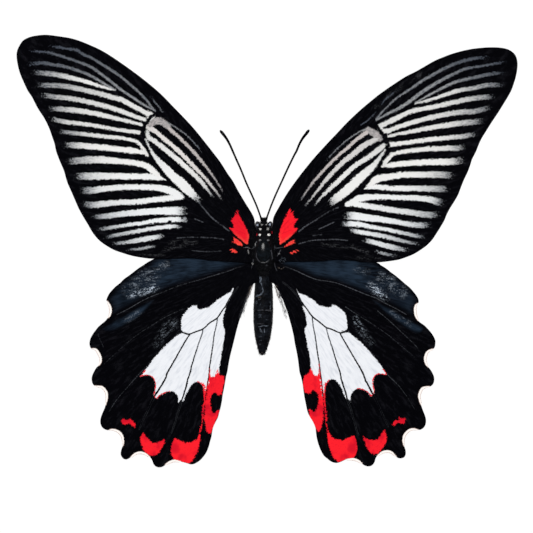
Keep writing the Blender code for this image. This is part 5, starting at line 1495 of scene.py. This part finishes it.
def thorax_shape(unit, place):
    """Give the thorax its full sides, the furrows on its back and a flat underside."""
    x, y, z = unit.T
    profile = np.array(THORAX_PROFILE)[::-1]
    middle = (profile[0, 0] + profile[-1, 0]) / 2
    place = place.copy()
    place[:, 1] = middle + y * (profile[-1, 0] - profile[0, 0]) / 2
    ring = np.maximum(np.sqrt(1 - y * y), 1e-6)
    wide, high, level = (np.interp(place[:, 1], profile[:, 0], profile[:, k]) for k in (1, 2, 3))
    ends = np.minimum(1.0, ring / 0.25)
    side = x / ring
    place[:, 0] = THORAX_CENTRE[0] + wide * ends * side
    place[:, 2] = level + high * ends * z / ring
    top = ramp(z / ring, 0.1, 0.75)
    here = place[:, 1]
    # Furrows round the disk, across the neck, along the middle of the shield and before the waist
    disk = np.hypot(place[:, 0] / 1.95, (here - 0.45) / 3.35)
    furrow = 0.26 * np.exp(-((disk - 1.0) / 0.09) ** 2)
    furrow += 0.2 * np.exp(-((here - 4.55) / 0.22) ** 2)
    furrow += 0.1 * np.exp(-(place[:, 0] / 0.16) ** 2) * ramp(here, 0.8, 2.4)
    furrow += 0.22 * np.exp(-((here + 3.7) / 0.25) ** 2)
    place[:, 2] -= furrow * top
    place += (unit * (0.06 * bend_noise(place, 1.1, SEED))[:, None])
    place[:, 2] = np.clip(place[:, 2], 0.0, BODY_TOP)
    return place


def thorax_top(x, y):
    """Height of the thorax above the given places, in millimetres."""
    profile = np.array(THORAX_PROFILE)[::-1]
    wide, high, level = (np.interp(y, profile[:, 0], profile[:, k]) for k in (1, 2, 3))
    share = 1 - ((x - THORAX_CENTRE[0]) / wide) ** 2
    held = (share > 0) & (y < profile[-1, 0]) & (y > profile[0, 0])
    return np.where(held, level + high * np.sqrt(np.maximum(share, 0)), 0.0)


def flatten_top(unit, place):
    """Give a plate on the back a flatter top than an ellipsoid has."""
    place = place.copy()
    lifted = np.sign(unit[:, 2]) * np.abs(unit[:, 2]) ** 0.6
    place[:, 2] += (lifted - unit[:, 2]) * DISK_HALF[2]
    return place


def ball_top(x, y, centre, half):
    """Height of an ellipsoid above the given places, nothing beside it."""
    share = 1 - ((x - centre[0]) / half[0]) ** 2 - ((y - centre[1]) / half[1]) ** 2
    return np.where(share > 0, centre[2] + half[2] * np.sqrt(np.maximum(share, 0)), 0.0)


def on_ball(count, centre, half, seed, keep):
    """Random points with their normals on an ellipsoid, where keep allows."""
    random = np.random.default_rng(seed)
    unit = random.normal(size=(count * 6, 3))
    unit /= np.linalg.norm(unit, axis=1)[:, None]
    unit = unit[keep(unit)][:count]
    normal = unit / np.array(half)
    normal /= np.linalg.norm(normal, axis=1)[:, None]
    return unit * half + centre, normal


def abdomen_line(y):
    """Side offset, half width and height of the abdomen's axis."""
    profile = np.array(ABDOMEN_PROFILE)[::-1]
    droop = (ABDOMEN_FRONT_Y - y) / (ABDOMEN_FRONT_Y - ABDOMEN_TIP_Y)
    height = ABDOMEN_Z + (ABDOMEN_TIP_Z - ABDOMEN_Z) * droop ** 2
    return np.interp(y, profile[:, 0], profile[:, 1]), np.interp(y, profile[:, 0], profile[:, 2]), height


def make_abdomen(material):
    """Abdomen of overlapping rings, each swelling a little towards its hind edge."""
    y = np.linspace(ABDOMEN_FRONT_Y, ABDOMEN_TIP_Y, 190)
    offset, half, height = abdomen_line(y)
    edges = np.array((ABDOMEN_FRONT_Y,) + SEGMENT_JOINTS_Y + (ABDOMEN_TIP_Y - 0.4,))
    ring = np.searchsorted(-edges, -y, side="right") - 1
    ring = np.clip(ring, 0, len(edges) - 2)
    share = (edges[ring] - y) / (edges[ring] - edges[ring + 1])
    swell = 0.035 * np.sin(share * math.pi) + 0.05 * share ** 3 - 0.12 * np.exp(-(share / 0.07) ** 2)
    radii = np.maximum(half + swell * np.minimum(1.0, half / 1.4), 0.1)
    mesh = tube_mesh("abdomen_rings", np.column_stack([offset, y, height]), radii, 56, ABDOMEN_FLATTEN)
    return new_object("abdomen_rings", mesh, material)


def make_abdomen_hair(material):
    """Short scales lying back along the abdomen, paler at the hind edge of each ring."""
    random = np.random.default_rng(SEED + 3)
    count = ABDOMEN_HAIRS
    y = random.uniform(ABDOMEN_TIP_Y + 0.5, ABDOMEN_FRONT_Y - 0.3, count)
    angle = random.uniform(0, math.tau, count)
    offset, half, height = abdomen_line(y)
    normal = np.column_stack([np.cos(angle), np.full(count, 0.0), np.sin(angle)])
    roots = np.column_stack([offset + half * np.cos(angle), y,
                             height + half * ABDOMEN_FLATTEN * np.sin(angle)])
    roots -= normal * 0.03
    directions = normal * 0.22 + np.array((0.0, -1.0, 0.0)) + random.normal(0, 0.16, (count, 3))
    joints = np.array(SEGMENT_JOINTS_Y)
    gap = np.abs(y[:, None] - (joints + 0.35)[None]).min(1)
    shades = 0.12 * random.uniform(0, 1, count) ** 4
    shades += 0.2 * np.exp(-(gap / 0.16) ** 2) * (np.sin(angle) > 0.2) * random.uniform(0, 1, count)
    lengths = random.uniform(0.3, 0.75, count)
    mesh = hair_mesh("abdomen_hair", roots, directions, lengths, 0.03, shades, SEED + 4)
    return new_object("abdomen_hair", mesh, material)


def surface_top(x, y):
    """Height of the body or of the wing roots above the given places."""
    offset, half, level = abdomen_line(np.clip(y, ABDOMEN_TIP_Y, ABDOMEN_FRONT_Y))
    share = 1 - ((x - offset) / half) ** 2
    abdomen = np.where((share > 0) & (y < ABDOMEN_FRONT_Y),
                       level + half * ABDOMEN_FLATTEN * np.sqrt(np.maximum(share, 0)) + 0.06, 0.0)
    on_wings = np.abs(x) > WINGS_FROM_X
    sheet = np.where(on_wings & (y > FOREWING_FROM_Y), FORE_ROOT_Z + 0.12,
                     np.where(on_wings & (y > HINDWING_FROM_Y), HIND_ROOT_Z + 0.12, 0.0))
    heights = [abdomen, sheet, thorax_top(x, y)]
    for centre, size in ((HEAD_CENTRE, HEAD_HALF), (COLLAR_CENTRE, COLLAR_HALF), (WAIST_CENTRE, WAIST_HALF),
                         (DISK_CENTRE, DISK_HALF)):
        heights.append(ball_top(x, y, centre, size))
    for sign in (-1, 1):
        heights.append(ball_top(x, y, (EYE_CENTRE[0] + sign * EYE_OFFSET_X, *EYE_CENTRE[1:]), EYE_HALF))
    return np.minimum(np.max(heights, 0), BODY_TOP)


def make_thorax_hair(material):
    """Hair of the thorax and head, brushed back, with its white dots, red marks and grey strands, and the tufts
    and strands of painted highlight on the eyes and abdomen.
    """
    random = np.random.default_rng(SEED + 5)
    groups = []
    spots, normal = on_ball(THORAX_HAIRS, THORAX_CENTRE, THORAX_HALF, SEED + 6, lambda u: u[:, 2] > -0.75)
    off_disk = np.hypot(spots[:, 0] / DISK_HALF[0], (spots[:, 1] - DISK_CENTRE[1]) / DISK_HALF[1]) > 0.95
    held = off_disk | (spots[:, 2] < 6)
    spots, normal = spots[held], normal[held]
    lean = normal * 0.5 + np.array((0.0, -1.0, 0.0)) + random.normal(0, 0.22, spots.shape)
    groups.append((spots - normal * 0.05, lean, random.uniform(0.4, 1.1, len(spots)),
                   0.25 * random.uniform(0, 1, len(spots)) ** 4))
    for centre, half, number in ((HEAD_CENTRE, HEAD_HALF, HEAD_HAIRS),
                                 (COLLAR_CENTRE, COLLAR_HALF, COLLAR_HAIRS),
                                 (WAIST_CENTRE, WAIST_HALF, WAIST_HAIRS)):
        spots, normal = on_ball(number, centre, half, SEED + 7, lambda u: u[:, 2] > -0.6)
        lean = normal * 0.6 + np.array((0.0, 0.4, 0.1)) + random.normal(0, 0.25, spots.shape)
        groups.append((spots - normal * 0.05, lean, random.uniform(0.25, 0.6, len(spots)),
                       0.25 * random.uniform(0, 1, len(spots)) ** 4))
    spots = np.column_stack([random.uniform(-0.7, 0.9, FACE_HAIRS), random.uniform(8.2, 9.3, FACE_HAIRS),
                             random.uniform(3.2, 5.4, FACE_HAIRS)])
    lean = np.array((0.0, 1.0, 0.15)) + random.normal(0, 0.2, spots.shape)
    groups.append((spots, lean, random.uniform(0.4, 0.75, len(spots)), np.zeros(len(spots))))
    for x, y, wide, high, number, shade in DOTS:
        angle = random.uniform(0, math.tau, number)
        reach = np.sqrt(random.uniform(0, 1, number))
        spots = np.column_stack([x + wide * reach * np.cos(angle), y + high * reach * np.sin(angle)])
        roots = np.column_stack([spots, surface_top(*spots.T) + 0.05])
        lean = np.array((0.0, -0.5, 0.4)) + random.normal(0, 0.25, roots.shape)
        groups.append((roots, lean, random.uniform(0.12, 0.25, number), np.full(number, shade)))
    for shade, number, points in STRANDS:
        rows = smooth(points, step=0.1)
        chosen = random.integers(0, len(rows) - 1, number)
        along = rows[np.minimum(chosen + 1, len(rows) - 1)] - rows[chosen]
        along /= np.maximum(np.hypot(*along.T), 1e-6)[:, None]
        spots = rows[chosen] + random.normal(0, 0.07, (number, 2))
        roots = np.column_stack([spots, surface_top(*spots.T) + 0.08])
        lean = np.column_stack([along, np.full(number, 0.05)]) + random.normal(0, 0.12, roots.shape)
        groups.append((roots, lean, random.uniform(0.3, 0.7, number), np.full(number, shade)))
    roots, lean, lengths, shades = (np.concatenate(part) for part in zip(*groups))
    return new_object("thorax_hair", hair_mesh("thorax_hair", roots, lean, lengths, 0.035, shades, SEED + 8),
                      material)


def wing_hair(name, rows, root_z, material, seed):
    """Hair lying on a wing: each row gives start, end, number, direction, length and shade."""
    random = np.random.default_rng(seed)
    groups = []
    for start, end, number, direction, length, shade, scatter in rows:
        t = random.uniform(0, 1, number)[:, None]
        spots = np.array(start) + (np.array(end) - np.array(start)) * t
        spots += random.normal(0, scatter, (number, 2))
        z = root_z + WING_RISE * (np.abs(spots[:, 0]) - WING_ROOT_X) ** 2 + SHEET_HALF
        lean = np.column_stack([np.tile(direction, (number, 1)), np.full(number, 0.08)])
        lean = lean / np.linalg.norm(lean, axis=1)[:, None] + random.normal(0, (0.2, 0.2, 0.05), (number, 3))
        groups.append((np.column_stack([spots, z]), lean, random.uniform(0.6, 1.2, number) * length,
                       np.clip(shade + random.normal(0, 0.04, number), 0, 3)))
    roots, lean, lengths, shades = (np.concatenate(part) for part in zip(*groups))
    return new_object(name, hair_mesh(name, roots, lean, lengths, 0.03, shades, seed + 1, 0.12), material)


def fringe_material():
    """Cream fringe with a thin brown line along its outer edge."""
    shader = Shader("fringe", 0.8, 0.0)
    edge = shader.weighted((shader.read("rim"), 1.0), (shader.noise(0.3), 0.2))
    shader.colour(shader.mix(shader.rise(edge, 0.84, 0.96), FRINGE_CREAM, FRINGE_BROWN))
    return shader.material


def make_fringe(name, paths, material):
    """Thin ribbons along the notches of a hindwing, from under its edge outwards."""
    vertices, faces, rims = [], [], []
    across = np.array((-0.3, 0.3, 0.75, 1.0))
    for path in paths:
        line = smooth(np.array(path, float), step=0.15)
        along = np.gradient(line, axis=0)
        outward = np.column_stack([along[:, 1], -along[:, 0]]) / np.hypot(*along.T)[:, None]
        if line[0, 0] > 0:
            outward = -outward
        share = np.linspace(0.0, 1.0, len(line))
        reach = FRINGE_REACH * np.sqrt(np.sin(math.pi * np.clip(share, 0.01, 0.99)))
        first = len(vertices)
        for level in (-0.5, 0.5):
            for place, direction, size in zip(line, outward, reach):
                height = HIND_ROOT_Z + WING_RISE * (abs(place[0]) - WING_ROOT_X) ** 2
                height += level * FRINGE_THICKNESS
                for step in across:
                    vertices.append((*(place + direction * size * step), height))
                    rims.append(step)
        columns = len(across)
        layer = len(line) * columns
        for row in range(len(line) - 1):
            for column in range(columns - 1):
                a = first + row * columns + column
                faces.append((a, a + 1, a + columns + 1, a + columns))
                a += layer
                faces.append((a, a + columns, a + columns + 1, a + 1))
        for row in range(len(line) - 1):
            for column in (0, columns - 1):
                a = first + row * columns + column
                faces.append((a, a + columns, a + columns + layer, a + layer))
        for row in (0, len(line) - 1):
            for column in range(columns - 1):
                a = first + row * columns + column
                faces.append((a, a + 1, a + 1 + layer, a + layer))
    mesh = bpy.data.meshes.new(name)
    mesh.from_pydata([tuple(np.array(vertex) * MM) for vertex in vertices], [], faces)
    set_attribute(mesh, "rim", np.array(rims))
    tidy = bmesh.new()
    tidy.from_mesh(mesh)
    bmesh.ops.recalc_face_normals(tidy, faces=tidy.faces)
    tidy.to_mesh(mesh)
    tidy.free()
    return new_object(name, mesh, material)


def make_antenna(name, path, material):
    """Antenna of many short rings, with its club at the end."""
    line = smooth(np.array(path, float), step=0.05)
    places = np.concatenate([[0], np.cumsum(np.hypot(*np.diff(line, axis=0).T))])
    total = places[-1]
    even = np.arange(0, total, 0.085)
    share = even / total
    left = total - even
    x = np.interp(even, places, line[:, 0])
    y = np.interp(even, places, line[:, 1])
    z = ANTENNA_ROOT_Z + ANTENNA_LIFT * share
    radii = ANTENNA_RADIUS + 0.03 * share + CLUB_SWELL * np.exp(-np.maximum(left - 1.2, 0) / 3.4)
    radii *= 1 - 0.1 * (np.cos(even * math.tau / ANTENNA_RING_LENGTH) > 0.55)
    radii *= np.sqrt(np.clip((left + 0.03) / 0.7, 0.05, 1))
    radii[:14] *= np.linspace(1.5, 1.0, 14)
    return new_object(name, tube_mesh(name, np.column_stack([x, y, z]), radii, 12), material)


def make_leg(name, path, sign, material):
    """Leg with thigh, shin and the ringed joints of the foot."""
    path = np.array([(sign * x + THORAX_CENTRE[0], y, z) for x, y, z in path])
    line = smooth(np.column_stack([path, LEG_RADII]), step=0.12)
    places = np.concatenate([[0], np.cumsum(np.linalg.norm(np.diff(line[:, :3], axis=0), axis=1))])
    share = places / places[-1]
    radii = line[:, 3] * (1 + 0.12 * np.sin(np.clip(share * 2.4, 0, 1) * math.pi))
    foot = (share - FOOT_START) / (1 - FOOT_START)
    narrow = (foot > 0) & (np.cos(foot * FOOT_JOINTS * math.tau) > 0.6)
    radii = np.where(narrow, radii * 0.78, radii)
    radii *= np.sqrt(np.clip((places[-1] - places + 0.02) / 0.2, 0.1, 1))
    line[:, 2] = np.maximum(line[:, 2], radii + 0.005)
    return new_object(name, tube_mesh(name, line[:, :3], radii, 12), material)


def make_tongue(name, material):
    """Tongue, coiled up in one plane under the head."""
    share = np.linspace(0.0, 1.0, TONGUE_POINTS)
    angle = math.radians(100) - share * TONGUE_TURNS * math.tau
    reach = TONGUE_OUTER + (TONGUE_INNER - TONGUE_OUTER) * share
    coil = np.column_stack([np.zeros(TONGUE_POINTS), reach * np.cos(angle), reach * np.sin(angle)])
    radii = TONGUE_RADIUS * (1 - 0.08 * (np.arange(TONGUE_POINTS) % 4 == 0)) * (1 - 0.25 * share)
    return new_object(name, tube_mesh(name, coil + TONGUE_CENTRE, radii, 12), material)


# Floor, lamp and surrounding light, in metres and watts
FLOOR_HALF = 2.5
FLOOR_Z = -0.00002
FLOOR_DARK = (0.01, 0.01, 0.01)
FLOOR_LIGHT = (0.02, 0.02, 0.02)
KEY_PLACE = (-0.1, 0.2, 0.95)
KEY_SIZE = 0.3
KEY_POWER = 8.0
WORLD_LIGHT = 0.35


def make_stage():
    """Pale floor that stays nearly free of shadow, one round lamp above and the camera."""
    shader = Shader("floor", 0.9, 0.0)
    grain = shader.noise(6.0, 2.0, 0.5)
    shader.colour(shader.mix(grain, FLOOR_DARK, FLOOR_LIGHT))
    shader.surface.inputs["Emission Color"].default_value = (1.0, 1.0, 1.0, 1.0)
    shader.surface.inputs["Emission Strength"].default_value = 1.0
    mesh = bpy.data.meshes.new("floor")
    corners = [(-1, -1), (1, -1), (1, 1), (-1, 1)]
    mesh.from_pydata([(x * FLOOR_HALF, y * FLOOR_HALF, FLOOR_Z) for x, y in corners], [], [(0, 1, 2, 3)])
    new_object("floor", mesh, shader.material)

    world = bpy.data.worlds.new("studio")
    bpy.context.scene.world = world
    world.use_nodes = True
    world.node_tree.nodes["Background"].inputs["Color"].default_value = (1.0, 1.0, 1.0, 1.0)
    world.node_tree.nodes["Background"].inputs["Strength"].default_value = WORLD_LIGHT

    light = bpy.data.lights.new("key", "AREA")
    light.shape = "DISK"
    light.size = KEY_SIZE
    light.energy = KEY_POWER
    lamp = bpy.data.objects.new("key", light)
    bpy.context.scene.collection.objects.link(lamp)
    lamp.location = KEY_PLACE
    lamp.rotation_euler = (-Vector(KEY_PLACE)).to_track_quat("-Z", "Y").to_euler()

    camera = bpy.data.objects.new("camera", bpy.data.cameras.new("camera"))
    bpy.context.scene.collection.objects.link(camera)
    camera.data.lens = LENS
    camera.data.sensor_width = SENSOR
    camera.data.clip_start = 0.01
    camera.data.clip_end = 20.0
    distance = LENS / SENSOR * VIEW_WIDTH
    camera.location = (VIEW_CENTRE[0] * MM, VIEW_CENTRE[1] * MM, (VIEW_PLANE_Z + distance) * MM)
    bpy.context.scene.camera = camera
    bpy.context.scene.view_settings.view_transform = "Standard"


def make_wings():
    """Four wings and the pale rims of the hindwings."""
    fore = wing_material("forewing_scales", False)
    hind = wing_material("hindwing_scales", True)
    edge = fringe_material()
    for side in ("left", "right"):
        wing = FOREWINGS[side]
        marks = partial(fore_marks, wing=wing)
        guides = fore_rows(wing["stripes"], wing["outer"])
        guides += [stroke(points) for *_, points in wing["lines"]]
        made = make_wing(f"forewing_{side}_scales", wing["outline"], FORE_ROOT_Z, SEED, marks, guides, fore)
        settle(made, "wing", f"forewing_{side}")
        wing = HINDWINGS[side]
        marks = partial(hind_marks, wing=wing)
        guides = [stroke(points) for points in wing["veins"].values()]
        guides += [stroke(points) for *_, points in wing["red_lines"]]
        made = make_wing(f"hindwing_{side}_scales", wing["outline"], HIND_ROOT_Z, SEED + 1, marks, guides, hind)
        settle(made, "wing", f"hindwing_{side}")
        settle(make_fringe(f"hindwing_{side}_edge", wing["fringes"], edge), "wing")


def make_body():
    """Thorax, head, abdomen, eyes, feelers, legs, antennae and tongue, with their hair."""
    velvet = body_material("velvet", 0.7, 0.05, CHITIN_BLACK, (0.006, 0.006, 0.008), 0.35, 0.08)
    rings = body_material("abdomen_scales", 0.5, 0.025, (0.001, 0.001, 0.0018),
                          (0.012, 0.015, 0.021), 0.4, 0.06)
    chitin = body_material("chitin", 0.5, 0.06, CHITIN_BLACK, (0.008, 0.007, 0.007), 0.2, 0.03)
    polished = body_material("polished_chitin", 0.15, 0.09, (0.001, 0.0015, 0.002),
                             (0.005, 0.008, 0.012), 0.6, 0.01)
    dull = body_material("dull_chitin", 0.9, 0.0, CHITIN_BLACK, (0.005, 0.005, 0.006), 0.2, 0.03)
    hair = hair_material()
    eye = eye_material()

    thorax = new_object("thorax_shield", ball_mesh("thorax_shield", THORAX_CENTRE, THORAX_HALF, 96, 72,
                                                   thorax_shape), velvet)
    settle(thorax, "body", "thorax")
    settle(make_thorax_hair(hair), "body")
    for name, centre, half, material, change in (
            ("thorax_disk", DISK_CENTRE, DISK_HALF, polished, flatten_top),
            ("thorax_collar", COLLAR_CENTRE, COLLAR_HALF, velvet, None),
            ("thorax_waist", WAIST_CENTRE, WAIST_HALF, velvet, None)):
        settle(new_object(name, ball_mesh(name, centre, half, 64, 48, change), material), "body")
    head = new_object("head_capsule", ball_mesh("head_capsule", HEAD_CENTRE, HEAD_HALF, 40, 28), velvet)
    settle(head, "body", "head")
    settle(make_abdomen(rings), "body", "abdomen")
    settle(make_abdomen_hair(hair), "body")

    for side, sign in (("left", -1), ("right", 1)):
        centre = (EYE_CENTRE[0] + sign * EYE_OFFSET_X, EYE_CENTRE[1], EYE_CENTRE[2])
        name = f"eye_{side}_facets"
        settle(new_object(name, ball_mesh(name, centre, EYE_HALF, 48, 36), eye), "eye", f"eye_{side}")
        path = smooth([(sign * x + HEAD_CENTRE[0], y, z) for x, y, z in PALP_PATH], step=0.12)
        radii = spread(PALP_RADII, len(path))
        name = f"palp_{side}_hairy"
        settle(new_object(name, tube_mesh(name, path, radii, 14), velvet), "body", f"palp_{side}")
        for pair, points in LEG_PATHS.items():
            leg = make_leg(f"leg_{pair}_{side}_jointed", points, sign, chitin)
            settle(leg, "limb", f"leg_{pair}_{side}")
    for side, points in (("left", ANTENNA_LEFT), ("right", ANTENNA_RIGHT)):
        settle(make_antenna(f"antenna_{side}_ringed", points, dull), "limb", f"antenna_{side}")
    settle(make_tongue("proboscis_coil", chitin), "limb", "proboscis")

    for side, sign in (("left", -1), ("right", 1)):
        rows = [((sign * 3.2, -9.4), (sign * 4.3, -12.6), 90, (sign * 0.32, -1.0), 1.0, 2.6, 0.16),
                ((sign * 4.0, -11.0), (sign * 6.4, -18.0), 160, (sign * 0.3, -1.0), 1.0, 0.3, 0.25)]
        settle(wing_hair(f"hindwing_{side}_fringe", rows, HIND_ROOT_Z, hair, SEED + 20), "body")
        rows = [((sign * 2.8, -2.0), (sign * 2.8, 6.4), 420, (sign * 0.5, 0.6), 1.0, 0.04, 0.3)]
        settle(wing_hair(f"forewing_{side}_down", rows, FORE_ROOT_Z, hair, SEED + 24), "body")


make_stage()
make_wings()
make_body()
